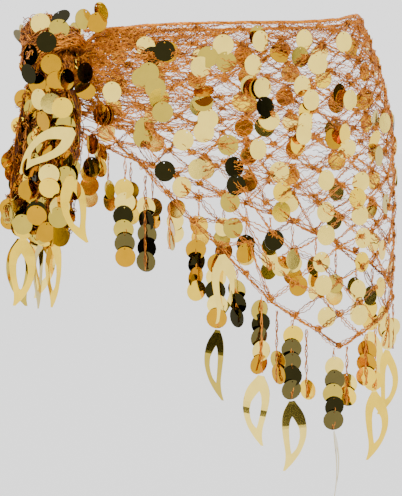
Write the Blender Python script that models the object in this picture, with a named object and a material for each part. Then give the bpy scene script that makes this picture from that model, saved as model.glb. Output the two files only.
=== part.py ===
"""A belly dance hip scarf: a triangular knotted net hung with coins, tied round the hips at the side.

The scarf keeps the hollow form that it has on a general pair of hips. Its waist cord runs round the waist
from a knot at the wearer's right hip. The net hangs from the cord to a slanting hem whose point lies over
the left of the front, and the corners of the triangle come out of the knot as hanging tails. Strings of
coins lie on the net, and fringe strings with coins and crescents hang from the hem.

Metres, +Z up, front towards -Y, origin at the middle of the waist opening. Angles are in degrees round the
body, 0 at the front and 90 at +X.
"""

import math
from bisect import bisect_right
from typing import NamedTuple

import bmesh
import bpy
from mathutils import Vector

MM = 0.001

# Net
NET_THICKNESS = 1.6 * MM
POINT_ANGLE = 42.3
FRONT_END_ANGLE = -48.5
BACK_END_ANGLE = 280.0
FRONT_COLUMNS = 11
BACK_COLUMNS = 25
SPLIT_COLUMN = 5
POINT_ROWS = 22
ROWS_LOST_PER_COLUMN = 0.72
ROW_STRETCH = 1.15
ARC_HEIGHT = -120 * MM
KNOT_HALF_WIDTH = 3.0 * MM
KNOT_HALF_HEIGHT = 2.8 * MM
KNOT_SHARE_OF_PITCH = 0.34
SEAM_GAP = 0.35 * MM

# Cords
WAIST_CORD_RADIUS = 1.9 * MM
WAIST_CORD_SIDES = 6
WAIST_DROP = WAIST_CORD_RADIUS + SEAM_GAP + KNOT_HALF_HEIGHT
HEM_HEIGHT = 3.6 * MM
THREAD_HALF = 1.1 * MM

# Coins and crescents
COIN_RADIUS = 10.0 * MM
COIN_THICKNESS = 0.9 * MM
STACK_PITCH = 13.0 * MM
THREAD_STAND_OFF = NET_THICKNESS + 0.5 * MM
COIN_STAND_OFF = NET_THICKNESS + 1.2 * MM
COIN_STRING_SPACING = 21.6 * MM
FRINGE_THICKNESS = 1.1 * MM

# Knot and tails
KNOT_ANGLE = -60.0
KNOT_CENTRE = Vector((-156, -75, -41)) * MM
KNOT_TILT = 48.0
CORE_RIBS = 7
BAND_STATIONS = 18
TAIL_WALL = 5.0 * MM
TAIL_FOLDS = 4

YARN = ("copper_yarn", (0.55, 0.22, 0.07, 1.0), 0.5, 0.35)
GOLD = ("gold_coin", (0.85, 0.62, 0.22, 1.0), 0.22, 1.0)


class HipSection(NamedTuple):
    """One level of the hips that the scarf was shaped on, in millimetres."""

    height: float
    half_width: float
    half_depth: float


HIP_FORM = (
    HipSection(-400, 172, 120),
    HipSection(-300, 176, 125),
    HipSection(-240, 178, 127),
    HipSection(-170, 178, 127),
    HipSection(-120, 176, 124),
    HipSection(-90, 172, 120),
    HipSection(-65, 166, 116),
    HipSection(-40, 158, 111),
    HipSection(-20, 150, 106),
    HipSection(0, 141, 101),
    HipSection(20, 135, 98),
)


class WaistPoint(NamedTuple):
    """Height of the scarf's top edge at one angle, in degrees and millimetres."""

    angle: float
    height: float


WAIST_LINE = (
    WaistPoint(-60, -18),
    WaistPoint(-38, -16),
    WaistPoint(-25, -13.5),
    WaistPoint(-10, -12),
    WaistPoint(34, -10.5),
    WaistPoint(56, -7),
    WaistPoint(68, -3),
    WaistPoint(78, -2),
    WaistPoint(95, -6),
    WaistPoint(130, -11),
    WaistPoint(180, -13),
    WaistPoint(240, -15),
    WaistPoint(290, -18),
)

# Height of the hem in millimetres at each column of the front, from the point to the knot.
FRONT_HEM = (-320, -303, -289, -273, -248, -221, -198, -172, -146, -126, -98, -70)
BACK_HEM_END = -76 * MM


class FringeString(NamedTuple):
    """One fringe string, in millimetres and degrees.

    Its column is its place along the hem, or over a tail's end from -1 at the left to 1 at the right. Its
    thread is bare above the first coin. The coins turn about
    the thread. Its crescent is 1 with the tip to the right, -1 to the left and 0 for none.
    """

    column: float
    thread: float
    coins: int
    coin_turn: float
    crescent: int
    turn: float


FRONT_STRINGS = (
    FringeString(-10.0, 20, 2, 10, 0, 0),
    FringeString(-8.8, 22, 6, -12, 0, 0),
    FringeString(-7.9, 20, 5, 14, 0, 0),
    FringeString(-6.9, 12, 2, 50, 0, 0),
    FringeString(-5.9, 8, 4, -30, 0, 0),
    FringeString(-5.1, 3, 5, 6, 1, 50),
    FringeString(-4.4, 9, 3, 50, 0, 0),
    FringeString(-3.4, 3, 5, -15, 1, 38),
    FringeString(-2.7, 38, 2, 68, 0, 0),
    FringeString(-2.1, 5, 5, 10, -1, -10),
    FringeString(-1.45, 48, 1, 60, 0, 0),
    FringeString(-0.2, 8, 5, 20, 1, -58),
    FringeString(0.45, 26, 2, 68, 0, 0),
    FringeString(1.5, 6, 3, 66, 0, 0),
    FringeString(2.05, 43, 1, 30, -1, 22),
    FringeString(3.2, 3, 2, 12, 1, -58),
    FringeString(4.0, 14, 2, 30, 0, 0),
)
SIDE_STRINGS = (
    FringeString(6.0, 26, 2, -16, 0, 0),
    FringeString(7.0, 18, 3, -12, -1, -24),
    FringeString(8.0, 20, 3, 30, 0, 0),
)
BACK_STRING_KINDS = (FringeString(0, 20, 3, 24, 0, 0), FringeString(0, 28, 2, -16, 0, 0))
TAIL_FRONT_STRINGS = (
    FringeString(-0.9, 3, 0, 0, -1, -8),
    FringeString(-0.1, 4, 0, 0, -1, 44),
    FringeString(0.7, 2, 0, 0, -1, 30),
)
TAIL_BACK_STRINGS = (
    FringeString(-0.5, 14, 0, 0, 1, -40),
    FringeString(0.5, 5, 0, 0, -1, -24),
)


class OutlinePoint(NamedTuple):
    """A point of the crescent's outline, in millimetres across and down from its thread hole."""

    across: float
    down: float


CRESCENT_LEFT_EDGE = (
    OutlinePoint(-7.5, 2.5),
    OutlinePoint(-12.6, 11),
    OutlinePoint(-13.6, 23),
    OutlinePoint(-11.8, 36),
    OutlinePoint(-8.8, 48),
    OutlinePoint(-8.6, 58),
)
CRESCENT_RIGHT_EDGE = (
    OutlinePoint(6.5, 2.0),
    OutlinePoint(12.4, 11),
    OutlinePoint(14.0, 23),
    OutlinePoint(12.4, 37),
    OutlinePoint(5.6, 52),
    OutlinePoint(-2.5, 61),
)
CRESCENT_TIP = OutlinePoint(-11.7, 66.5)
CRESCENT_HOLE_LEFT = (OutlinePoint(-4.2, 17), OutlinePoint(-3.6, 25), OutlinePoint(-3.0, 36))
CRESCENT_HOLE_RIGHT = (OutlinePoint(1.2, 17), OutlinePoint(4.7, 25), OutlinePoint(4.2, 35))
CRESCENT_HOLE_FOOT = OutlinePoint(-2.5, 46.5)


def clear_scene():
    """Removes what the file starts with."""
    for old in list(bpy.data.objects):
        bpy.data.objects.remove(old, do_unlink=True)


def material(finish):
    """The material of that name, made on first use."""
    name, colour, roughness, metallic = finish
    found = bpy.data.materials.get(name)
    if found:
        return found
    made = bpy.data.materials.new(name)
    made.use_nodes = True
    shader = made.node_tree.nodes["Principled BSDF"]
    shader.inputs["Base Color"].default_value = colour
    shader.inputs["Roughness"].default_value = roughness
    shader.inputs["Metallic"].default_value = metallic
    return made


def between(keys, values, key):
    """The value at key on the straight lines through the table, held at its ends."""
    place = min(max(bisect_right(keys, key), 1), len(keys) - 1)
    low, high = keys[place - 1], keys[place]
    share = min(max((key - low) / (high - low), 0), 1)
    return values[place - 1] + share * (values[place] - values[place - 1])


def hip_halves(height):
    """Half width and half depth of the hips at a height, in metres."""
    heights = [row.height for row in HIP_FORM]
    level = height / MM
    half_width = between(heights, [row.half_width for row in HIP_FORM], level)
    half_depth = between(heights, [row.half_depth for row in HIP_FORM], level)
    return half_width * MM, half_depth * MM


def hip_point(angle, height, stand_off=0.0):
    """A point that stands off the hips at that angle and height."""
    half_width, half_depth = hip_halves(height)
    turn = math.radians(angle)
    return Vector((
        (half_width + stand_off) * math.sin(turn),
        -(half_depth + stand_off) * math.cos(turn),
        height,
    ))


def degrees_across(angle, height, distance):
    """The angle that a small distance round the hips takes up."""
    half_width, half_depth = hip_halves(height)
    turn = math.radians(angle)
    return math.degrees(distance / math.hypot(half_width * math.cos(turn), half_depth * math.sin(turn)))


def hip_frame(angle, height):
    """Unit vectors along the hips and out from them."""
    half_width, half_depth = hip_halves(height)
    turn = math.radians(angle)
    along = Vector((half_width * math.cos(turn), half_depth * math.sin(turn), 0)).normalized()
    return along, Vector((along.y, -along.x, 0))


def arc_table():
    """Arc length round the hips from FRONT_END_ANGLE, at whole degrees."""
    angles, arcs = [FRONT_END_ANGLE], [0.0]
    while angles[-1] < BACK_END_ANGLE:
        step = min(1.0, BACK_END_ANGLE - angles[-1])
        before = hip_point(angles[-1], ARC_HEIGHT)
        angles.append(angles[-1] + step)
        arcs.append(arcs[-1] + (hip_point(angles[-1], ARC_HEIGHT) - before).length)
    return angles, arcs


ARC_ANGLES, ARC_LENGTHS = arc_table()
POINT_ARC = between(ARC_ANGLES, ARC_LENGTHS, POINT_ANGLE)
FRONT_PITCH = POINT_ARC / FRONT_COLUMNS
BACK_PITCH = (ARC_LENGTHS[-1] - POINT_ARC) / BACK_COLUMNS


def column_angle(column):
    """The angle of a column of the net; column 0 holds the point of the triangle."""
    pitch = FRONT_PITCH if column < 0 else BACK_PITCH
    return between(ARC_LENGTHS, ARC_ANGLES, POINT_ARC + column * pitch)


def waist_height(angle):
    """Height of the waist cord's middle line."""
    return between([p.angle for p in WAIST_LINE], [p.height for p in WAIST_LINE], angle) * MM


def hem_height(column):
    """Height of the lowest knot of a column."""
    if column < 0:
        return FRONT_HEM[-column] * MM
    point = FRONT_HEM[0] * MM
    return point + (BACK_HEM_END - point) * column / BACK_COLUMNS


def hem_row(column):
    """The lowest row of a column. A knot's row is odd on an odd column and even on an even one."""
    odd = column % 2
    rows = POINT_ROWS - ROWS_LOST_PER_COLUMN * abs(column)
    return 2 * round((rows - odd) / 2) + odd


def knot_height(column, row):
    """Height of a knot of the net; the rows crowd a little towards the waist."""
    top = waist_height(column_angle(column)) - WAIST_DROP
    share = (row / hem_row(column)) ** ROW_STRETCH
    return top + (hem_height(column) - top) * share


def hem_clearance(column):
    """Depth of the hem cord's top edge below a column's lowest knot, so that it clears steep strands."""
    slopes = [
        abs(hem_height(other) - hem_height(column))
        / (FRONT_PITCH if min(other, column) < 0 else BACK_PITCH)
        for other in (column - 1, column + 1)
        if -FRONT_COLUMNS <= other <= BACK_COLUMNS
    ]
    steepest = max(slopes)
    return max(KNOT_HALF_HEIGHT, KNOT_HALF_WIDTH * steepest) + SEAM_GAP * math.hypot(1, steepest)


def column_knots(column):
    """The rows at which a column has knots."""
    return range(column % 2, hem_row(column) + 1, 2)


class Wall:
    """Faces that are given a thickness: an outer skin, an inner skin and a rim round every edge."""

    def __init__(self):
        self.outer, self.inner, self.faces = [], [], []

    def point(self, outer, inner):
        """Adds a point on both skins and returns its number."""
        self.outer.append(outer)
        self.inner.append(inner)
        return len(self.outer) - 1

    def hip_point(self, angle, height, stand_off, thickness):
        """Adds a point whose inner skin stands off the hips by stand_off."""
        return self.point(
            hip_point(angle, height, stand_off + thickness), hip_point(angle, height, stand_off)
        )

    def face(self, *corners):
        """Adds a face, its corners anticlockwise seen from outside."""
        self.faces.append(corners)

    def build(self, name, finish):
        """Makes the closed solid."""
        count = len(self.outer)
        ends = {(a, b) for face in self.faces for a, b in zip(face, face[1:] + face[:1])}
        rim = [(b, a, a + count, b + count) for a, b in ends if (b, a) not in ends]
        inside = [tuple(corner + count for corner in reversed(face)) for face in self.faces]
        mesh = bpy.data.meshes.new(name)
        mesh.from_pydata(self.outer + self.inner, [], self.faces + inside + sorted(rim))
        return place(name, mesh, finish)


def place(name, mesh, finish):
    """Puts a finished mesh in the scene as the named node."""
    mesh.validate()
    mesh.materials.append(material(finish))
    made = bpy.data.objects.new(name, mesh)
    bpy.context.scene.collection.objects.link(made)
    return made


def knot_plate(wall, column, row):
    """A knot of the net, as a small lozenge. Returns its corners by compass letter."""
    angle, height = column_angle(column), knot_height(column, row)
    rows = column_knots(column)
    above = knot_height(column, row - 2) if row - 2 in rows else None
    below = knot_height(column, row + 2) if row + 2 in rows else None
    spaces = [abs(other - height) for other in (above, below) if other is not None]
    nearest = min(spaces, default=KNOT_HALF_HEIGHT * 4)
    half_height = min(KNOT_HALF_HEIGHT, KNOT_SHARE_OF_PITCH * nearest / 2)
    aside = degrees_across(angle, height, KNOT_HALF_WIDTH)
    places = {
        "N": (angle, height + half_height),
        "E": (angle + aside, height),
        "S": (angle, height - half_height),
        "W": (angle - aside, height),
    }
    corners = {letter: wall.hip_point(*at, 0, NET_THICKNESS) for letter, at in places.items()}
    wall.face(corners["S"], corners["E"], corners["N"], corners["W"])
    return corners


def parted(wall, corner, towards):
    """A copy of a knot's corner, moved by the seam gap towards the corner at the strand's other end."""
    step = (wall.outer[towards] - wall.outer[corner]).normalized() * SEAM_GAP
    return wall.point(wall.outer[corner] + step, wall.inner[corner] + step)


def strand(wall, near, far, rising):
    """A strand of the net from knot near to knot far, one column on, each given by its corners."""
    if rising:
        wall.face(near["E"], far["S"], far["W"], near["N"])
    else:
        wall.face(near["S"], far["W"], far["N"], near["E"])


def net_panel(name, first, last, joins_before=False):
    """The net between two columns. With joins_before, its strands reach back to the column before."""
    wall = Wall()
    knots = {
        (column, row): knot_plate(wall, column, row)
        for column in range(first, last + 1)
        for row in column_knots(column)
    }
    for (column, row), near in knots.items():
        for step in (-1, 1):
            far = knots.get((column + 1, row + step))
            if far:
                strand(wall, near, far, step < 0)
    if joins_before:
        join_to_column(wall, knots, first)
    return wall.build(name, YARN)


def join_to_column(wall, knots, first):
    """Strands from the knots of column first back to where the knots of the column before stand."""
    for row in column_knots(first - 1):
        ghost = Wall()
        corners = knot_plate(ghost, first - 1, row)
        for step in (-1, 1):
            far = knots.get((first, row + step))
            if not far:
                continue
            near = {}
            uses = (("E", "S"), ("N", "W")) if step < 0 else (("E", "N"), ("S", "W"))
            for mine, theirs in uses:
                corner = wall.point(ghost.outer[corners[mine]], ghost.inner[corners[mine]])
                near[mine] = parted(wall, corner, far[theirs])
            strand(wall, near, far, step < 0)
    keep_used_points(wall)


def keep_used_points(wall):
    """Drops the points that no face uses."""
    used = sorted({corner for face in wall.faces for corner in face})
    number = {old: new for new, old in enumerate(used)}
    wall.outer = [wall.outer[old] for old in used]
    wall.inner = [wall.inner[old] for old in used]
    wall.faces = [tuple(number[corner] for corner in face) for face in wall.faces]


def loft(name, rings, finish):
    """A closed solid through rings of points, with a flat cap at each end."""
    mesh = bpy.data.meshes.new(name)
    shape = bmesh.new()
    made = [[shape.verts.new(point) for point in ring] for ring in rings]
    for low, high in zip(made, made[1:]):
        for k in range(len(low)):
            after = (k + 1) % len(low)
            shape.faces.new((low[k], low[after], high[after], high[k]))
    shape.faces.new(list(reversed(made[0])))
    shape.faces.new(made[-1])
    bmesh.ops.recalc_face_normals(shape, faces=shape.faces)
    shape.to_mesh(mesh)
    shape.free()
    return place(name, mesh, finish)


def waist_cord(name, first, last, start_gap, end_gap):
    """The cord that edges the top of the net, from one column to another."""
    rings = []
    for column in range(first, last + 1):
        angle = column_angle(column)
        if column == first:
            angle += degrees_across(angle, 0, start_gap)
        if column == last:
            angle -= degrees_across(angle, 0, end_gap)
        ring = []
        for side in range(WAIST_CORD_SIDES):
            turn = math.tau * (side + 0.5) / WAIST_CORD_SIDES
            out = NET_THICKNESS / 2 + WAIST_CORD_RADIUS * math.sin(turn)
            middle = waist_height(angle)
            ring.append(
                hip_point(angle, middle, out) + Vector((0, 0, WAIST_CORD_RADIUS * math.cos(turn)))
            )
        rings.append(ring)
    return loft(name, rings, YARN)


def coin_profile(drop):
    """Half widths of one coin against height below its thread, as a ladder of rungs."""
    slant = COIN_RADIUS * math.sqrt(0.5)
    middle = drop + COIN_RADIUS
    return [
        (slant, middle - slant),
        (COIN_RADIUS, middle),
        (slant, middle + slant),
        (THREAD_HALF, middle + COIN_RADIUS),
    ]


def stack_profile(drop, coins):
    """Half widths of a stack of overlapping coins, as a ladder of rungs."""
    slant = COIN_RADIUS * math.sqrt(0.5)
    notch = math.sqrt(COIN_RADIUS**2 - (STACK_PITCH / 2) ** 2)
    first = drop + COIN_RADIUS
    rungs = [(slant, first - slant)]
    for coin in range(coins):
        middle = first + coin * STACK_PITCH
        rungs.append((COIN_RADIUS, middle))
        if coin < coins - 1:
            rungs.append((notch, middle + STACK_PITCH / 2))
    last = first + (coins - 1) * STACK_PITCH
    rungs += [(slant, last + slant), (THREAD_HALF, last + COIN_RADIUS)]
    return rungs


def coin_rows(column):
    """The rows of a column whose knots carry a coin, no closer than the coins' own height."""
    chosen = []
    for row in range(2 - column % 2, hem_row(column), 2):
        height = knot_height(column, row)
        if not chosen or knot_height(column, chosen[-1]) - height >= COIN_STRING_SPACING:
            if height - 2 * COIN_RADIUS > hem_height(column) - 2 * COIN_RADIUS:
                chosen.append(row)
    return chosen


def coin_string(column):
    """The coins that hang one below the other on a column of the net, on their thread."""
    angle = column_angle(column)
    wall = Wall()
    pair = None
    hook = KNOT_HALF_HEIGHT * 0.6
    for row in coin_rows(column):
        height = knot_height(column, row)
        rungs = [(THREAD_HALF, -hook, THREAD_STAND_OFF), (THREAD_HALF, hook, THREAD_STAND_OFF)]
        rungs += [(half, drop, COIN_STAND_OFF) for half, drop in coin_profile(hook)]
        for half, drop, stand_off in rungs:
            level = height - drop
            aside = degrees_across(angle, level, half)
            new = (
                wall.hip_point(angle - aside, level, stand_off, COIN_THICKNESS),
                wall.hip_point(angle + aside, level, stand_off, COIN_THICKNESS),
            )
            if pair:
                wall.face(pair[0], new[0], new[1], pair[1])
            pair = new
    side = "front" if column <= SPLIT_COLUMN else "back"
    return wall.build(f"coins_{side}_{column + FRONT_COLUMNS:02d}", GOLD)


class Hanger:
    """A string that hangs straight down from a strip: it turns rungs of a ladder into points of a wall."""

    def __init__(self, wall, foot, along, out, pair):
        self.wall, self.foot, self.along, self.out, self.pair = wall, foot, along, out, pair

    def spot(self, across, drop, turn):
        """Adds the point at a distance across and below the foot, the piece turned about its thread."""
        swing = math.radians(turn)
        sideways = self.along * math.cos(swing) + self.out * math.sin(swing)
        facing = self.out * math.cos(swing) - self.along * math.sin(swing)
        middle = self.foot + sideways * across - Vector((0, 0, drop))
        half = facing * (FRINGE_THICKNESS / 2)
        return self.wall.point(middle + half, middle - half)

    def rung(self, half, drop, turn):
        """Adds the next pair of points and the face up to the pair before."""
        new = (self.spot(-half, drop, turn), self.spot(half, drop, turn))
        self.wall.face(self.pair[0], new[0], new[1], self.pair[1])
        self.pair = new

    def crescent(self, drop, hand, turn):
        """Hangs a crescent with its cut-out on the last pair; hand 1 puts its tip to the right."""

        def at(point):
            return self.spot(-hand * point.across * MM, drop + point.down * MM, turn)

        edges = (CRESCENT_LEFT_EDGE, CRESCENT_RIGHT_EDGE)[::-hand]
        holes = (CRESCENT_HOLE_LEFT, CRESCENT_HOLE_RIGHT)[::-hand]
        left, right = ([at(p) for p in edge] for edge in edges)
        hole_left, hole_right = ([at(p) for p in edge] for edge in holes)
        tip, foot = at(CRESCENT_TIP), at(CRESCENT_HOLE_FOOT)
        face = self.wall.face
        face(self.pair[0], left[0], left[1], hole_left[0], hole_right[0], right[1], right[0], self.pair[1])
        for step in (1, 2):
            face(left[step], left[step + 1], hole_left[step], hole_left[step - 1])
            face(hole_right[step - 1], hole_right[step], right[step + 1], right[step])
        face(left[3], left[4], foot, hole_left[2])
        face(hole_right[2], foot, right[4], right[3])
        face(left[4], left[5], tip, right[5], right[4], foot)


def hang_string(wall, foot, along, out, pair, kind):
    """Hangs one fringe string of the given kind on a pair of points of its strip."""
    hanger = Hanger(wall, foot, along, out, pair)
    drop = kind.thread * MM
    hanger.rung(THREAD_HALF, drop, kind.coin_turn)
    if kind.coins:
        for half, drop in stack_profile(drop, kind.coins):
            hanger.rung(half, drop, kind.coin_turn)
    if kind.crescent:
        link = drop + 2 * MM
        hanger.rung(THREAD_HALF, link, kind.turn)
        hanger.crescent(link, kind.crescent, kind.turn)


def along_hem(values, place):
    """The value at a place along the hem, given the values at its whole columns."""
    columns = sorted(values)
    return between(columns, [values[column] for column in columns], place)


def hem_fringe(name, first, last, strings, start_gap, end_gap):
    """The hem cord between two columns, with its fringe strings."""
    columns = range(first, last + 1)
    tops = {column: hem_height(column) - hem_clearance(column) for column in columns}
    angles = {column: column_angle(column) for column in columns}
    angles[first] += degrees_across(angles[first], tops[first], start_gap)
    angles[last] -= degrees_across(angles[last], tops[last], end_gap)
    by_place = {string.column: string for string in strings}
    wall = Wall()
    before = None
    for place in sorted(set(columns) | set(by_place)):
        string = by_place.get(place)
        if not string and any(abs(other - place) < 0.12 for other in by_place):
            continue
        angle, top = along_hem(angles, place), along_hem(tops, place)
        bottom = top - HEM_HEIGHT
        crest = wall.hip_point(angle, top, 0, NET_THICKNESS)
        if string:
            aside = degrees_across(angle, bottom, THREAD_HALF)
            left = wall.hip_point(angle - aside, bottom, 0, NET_THICKNESS)
            right = wall.hip_point(angle + aside, bottom, 0, NET_THICKNESS)
            wall.face(crest, left, right)
            along, out = hip_frame(angle, bottom)
            foot = hip_point(angle, bottom, NET_THICKNESS / 2)
            hang_string(wall, foot, along, out, (left, right), string)
        else:
            left = right = wall.hip_point(angle, bottom, 0, NET_THICKNESS)
        if before:
            wall.face(before[0], before[1], left, crest)
        before = (crest, right)
    return wall.build(name, GOLD)


def knot_axes():
    """Unit vectors of the side knot: along its core, across it on the hip, and out from the hip."""
    along, out = hip_frame(KNOT_ANGLE, KNOT_CENTRE.z)
    tilt = math.radians(KNOT_TILT)
    core = along * math.cos(tilt) - Vector((0, 0, math.sin(tilt)))
    return core, out.cross(core).normalized(), out


class CoreSection(NamedTuple):
    """One section of the knot's core, in millimetres along it from its middle."""

    along: float
    radius: float


CORE_SECTIONS = (
    CoreSection(-41, 6), CoreSection(-38, 14), CoreSection(-31, 21), CoreSection(-22, 21),
    CoreSection(-13, 15), CoreSection(0, 14.6), CoreSection(12, 14.6), CoreSection(20, 17.5),
    CoreSection(28, 17), CoreSection(35, 11), CoreSection(38, 5),
)
RIB_DEPTH = 0.09
BAND_RADIUS = 23.5 * MM
BAND_HALF_WIDTH = 10 * MM
BAND_HALF_THICKNESS = 8 * MM
BAND_SECTION_POINTS = 8


def knot_core():
    """The gathered cloth that runs through the knot: a ribbed bundle, pinched where the band holds it."""
    core, across, out = knot_axes()
    rings = []
    for section in CORE_SECTIONS:
        ring = []
        for k in range(2 * CORE_RIBS):
            turn = math.tau * k / (2 * CORE_RIBS)
            radius = section.radius * MM * (1 + (RIB_DEPTH if k % 2 else -RIB_DEPTH))
            ring.append(
                KNOT_CENTRE + core * section.along * MM
                + across * radius * math.cos(turn) + out * radius * math.sin(turn)
            )
        rings.append(ring)
    return loft("knot_core", rings, YARN)


def knot_band():
    """The turn of gathered cloth that goes round the core and holds it."""
    core, across, out = knot_axes()
    shape = bmesh.new()
    rings = []
    for station in range(BAND_STATIONS):
        turn = math.tau * station / BAND_STATIONS
        spoke = across * math.cos(turn) + out * math.sin(turn)
        ring = []
        for k in range(BAND_SECTION_POINTS):
            lap = math.tau * k / BAND_SECTION_POINTS
            rib = 1.1 if k % 2 else 0.88
            ring.append(shape.verts.new(
                KNOT_CENTRE + spoke * (BAND_RADIUS + BAND_HALF_THICKNESS * rib * math.cos(lap))
                + core * BAND_HALF_WIDTH * rib * math.sin(lap)
            ))
        rings.append(ring)
    for low, high in zip(rings, rings[1:] + rings[:1]):
        for k in range(BAND_SECTION_POINTS):
            after = (k + 1) % BAND_SECTION_POINTS
            shape.faces.new((low[k], low[after], high[after], high[k]))
    bmesh.ops.recalc_face_normals(shape, faces=shape.faces)
    mesh = bpy.data.meshes.new("knot_band")
    shape.to_mesh(mesh)
    shape.free()
    return place("knot_band", mesh, YARN)


class ThroatSection(NamedTuple):
    """One section of the gathered net beside the knot, in degrees and millimetres."""

    angle: float
    top: float
    bottom: float
    thickness: float
    stand_off: float


FRONT_THROAT = (
    ThroatSection(-50.0, -16, -72, 4, -1.5),
    ThroatSection(-52.2, -19, -66, 4.6, -2.2),
)
BACK_THROAT = (
    ThroatSection(281.75, -17, -78, 4, -1.5),
    ThroatSection(292.0, -26, -62, 8, -1),
)
THROAT_FOLDS = 5


def throat(name, sections):
    """The end of the net, drawn together in upright pleats towards the knot."""
    rings = []
    for section in sections:
        outside, inside = [], []
        for k in range(THROAT_FOLDS * 2 + 1):
            share = k / (THROAT_FOLDS * 2)
            height = (section.top + share * (section.bottom - section.top)) * MM
            fold = section.thickness * MM * (0.22 if k % 2 else -0.22)
            middle = section.stand_off * MM + fold
            outside.append(hip_point(section.angle, height, middle + section.thickness * MM))
            inside.append(hip_point(section.angle, height, middle))
        rings.append(outside + list(reversed(inside)))
    return loft(name, rings, YARN)


class TailSection(NamedTuple):
    """One level of a hanging tail, in millimetres: its middle, its width and the depth of its folds."""

    height: float
    x: float
    y: float
    width: float
    depth: float


FRONT_TAIL = (
    TailSection(-74.8, -146, -93, 24, 8),
    TailSection(-92, -148, -94, 36, 10),
    TailSection(-112, -151, -94, 47, 12),
    TailSection(-140, -155, -94, 50, 14),
    TailSection(-170, -160, -93, 48, 15),
    TailSection(-194, -163, -92, 52, 15),
    TailSection(-212, -166, -91, 48, 14),
)
BACK_TAIL = (
    TailSection(-66.8, -171, -54, 22, 8),
    TailSection(-86, -173, -55, 32, 10),
    TailSection(-108, -175, -56, 38, 12),
    TailSection(-136, -178, -56, 42, 14),
    TailSection(-168, -181, -56, 40, 14),
    TailSection(-204, -184, -55, 44, 14),
)
TAIL_TURN = -22.0


def tail(name, sections):
    """A corner of the triangle hanging from the knot, gathered in lengthwise folds."""
    swing = math.radians(TAIL_TURN)
    across = Vector((math.cos(swing), math.sin(swing), 0))
    front = Vector((across.y, -across.x, 0))
    rings = []
    for section in sections:
        middle = Vector((section.x, section.y, section.height)) * MM
        facing, behind = [], []
        for k in range(TAIL_FOLDS * 2 + 1):
            share = k / (TAIL_FOLDS * 2) - 0.5
            fold = section.depth * MM * (0.5 if k % 2 else -0.5)
            spot = middle + across * share * section.width * MM + front * fold
            facing.append(spot + front * TAIL_WALL / 2)
            behind.append(spot - front * TAIL_WALL / 2)
        rings.append(facing + list(reversed(behind)))
    return loft(name, rings, YARN), across, front


def tail_middle(sections, height):
    """The middle of a tail at a height."""
    levels = [section.height * MM for section in reversed(sections)]
    x = between(levels, [section.x * MM for section in reversed(sections)], height)
    y = between(levels, [section.y * MM for section in reversed(sections)], height)
    return Vector((x, y, height))


def tail_fringe(name, section, across, front, kinds):
    """A strip just below a tail's end with fringe strings spread along it."""
    wall = Wall()
    middle = Vector((section.x, section.y, section.height)) * MM - Vector((0, 0, SEAM_GAP))
    half = section.width / 2 * MM
    thick = front * (FRINGE_THICKNESS / 2)

    def at(distance, drop):
        spot = middle + across * distance - Vector((0, 0, drop))
        return wall.point(spot + thick, spot - thick)

    before = (at(-half, 0), at(-half, HEM_HEIGHT))
    for kind in kinds:
        distance = half * kind.column
        crest = at(distance, 0)
        left, right = at(distance - THREAD_HALF, HEM_HEIGHT), at(distance + THREAD_HALF, HEM_HEIGHT)
        wall.face(crest, left, right)
        wall.face(before[0], before[1], left, crest)
        foot = middle + across * distance - Vector((0, 0, HEM_HEIGHT))
        hang_string(wall, foot, across, front, (left, right), kind)
        before = (crest, right)
    wall.face(before[0], before[1], at(half, HEM_HEIGHT), at(half, 0))
    return wall.build(name, GOLD)


def tail_coins(name, sections, across, front, drops):
    """A string of coins that hangs in front of a tail, from its top section down."""
    wall = Wall()
    pair = None
    stand_off = max(section.depth for section in sections) / 2 * MM + TAIL_WALL / 2 + SEAM_GAP
    for drop in drops:
        for half, down in [(THREAD_HALF, 0.0)] + coin_profile(2 * MM):
            height = sections[1].height * MM - drop * MM - down
            spot = tail_middle(sections, height) + front * stand_off
            thick = front * COIN_THICKNESS
            new = tuple(
                wall.point(spot + across * side * half + thick, spot + across * side * half)
                for side in (-1, 1)
            )
            if pair:
                wall.face(pair[0], new[0], new[1], pair[1])
            pair = new
    return wall.build(name, GOLD)


def main():
    """Builds every node of the scarf."""
    clear_scene()
    net_panel("net_front", -FRONT_COLUMNS, SPLIT_COLUMN)
    net_panel("net_back", SPLIT_COLUMN + 1, BACK_COLUMNS, joins_before=True)
    waist_cord("waist_cord_front", -FRONT_COLUMNS, SPLIT_COLUMN, 0, SEAM_GAP / 2)
    waist_cord("waist_cord_back", SPLIT_COLUMN, BACK_COLUMNS, SEAM_GAP / 2, 0)
    hem_fringe("fringe_front", -FRONT_COLUMNS, SPLIT_COLUMN, FRONT_STRINGS, 0, SEAM_GAP / 2)
    back_strings = SIDE_STRINGS + tuple(
        BACK_STRING_KINDS[column % 2]._replace(column=column) for column in range(9, BACK_COLUMNS)
    )
    hem_fringe("fringe_back", SPLIT_COLUMN, BACK_COLUMNS, back_strings, SEAM_GAP / 2, 0)
    for column in range(-FRONT_COLUMNS + 2, BACK_COLUMNS - 2, 2):
        if coin_rows(column):
            coin_string(column)
    knot_core()
    knot_band()
    throat("throat_front", FRONT_THROAT)
    throat("throat_back", BACK_THROAT)
    front_tail, across, front = tail("tail_front", FRONT_TAIL)
    back_tail, _, _ = tail("tail_back", BACK_TAIL)
    tail_fringe("tail_fringe_front", FRONT_TAIL[-1], across, front, TAIL_FRONT_STRINGS)
    tail_fringe("tail_fringe_back", BACK_TAIL[-1], across, front, TAIL_BACK_STRINGS)
    tail_coins("tail_coins_front", FRONT_TAIL, across, front, (0, 24, 50, 76, 102))
    tail_coins("tail_coins_back", BACK_TAIL, across, front, (2, 30, 58, 90))


main()
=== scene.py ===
"""A belly dance hip scarf: a triangular net of copper yarn hung with mirror coins, tied in a side knot.

The scarf keeps the hollow form that it has round a wearer's hips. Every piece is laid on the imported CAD
part's frame and rides on its one body. Angles are in degrees round the hips, 0 at the front and 90 at +X,
and lengths in metres.
"""

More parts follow.
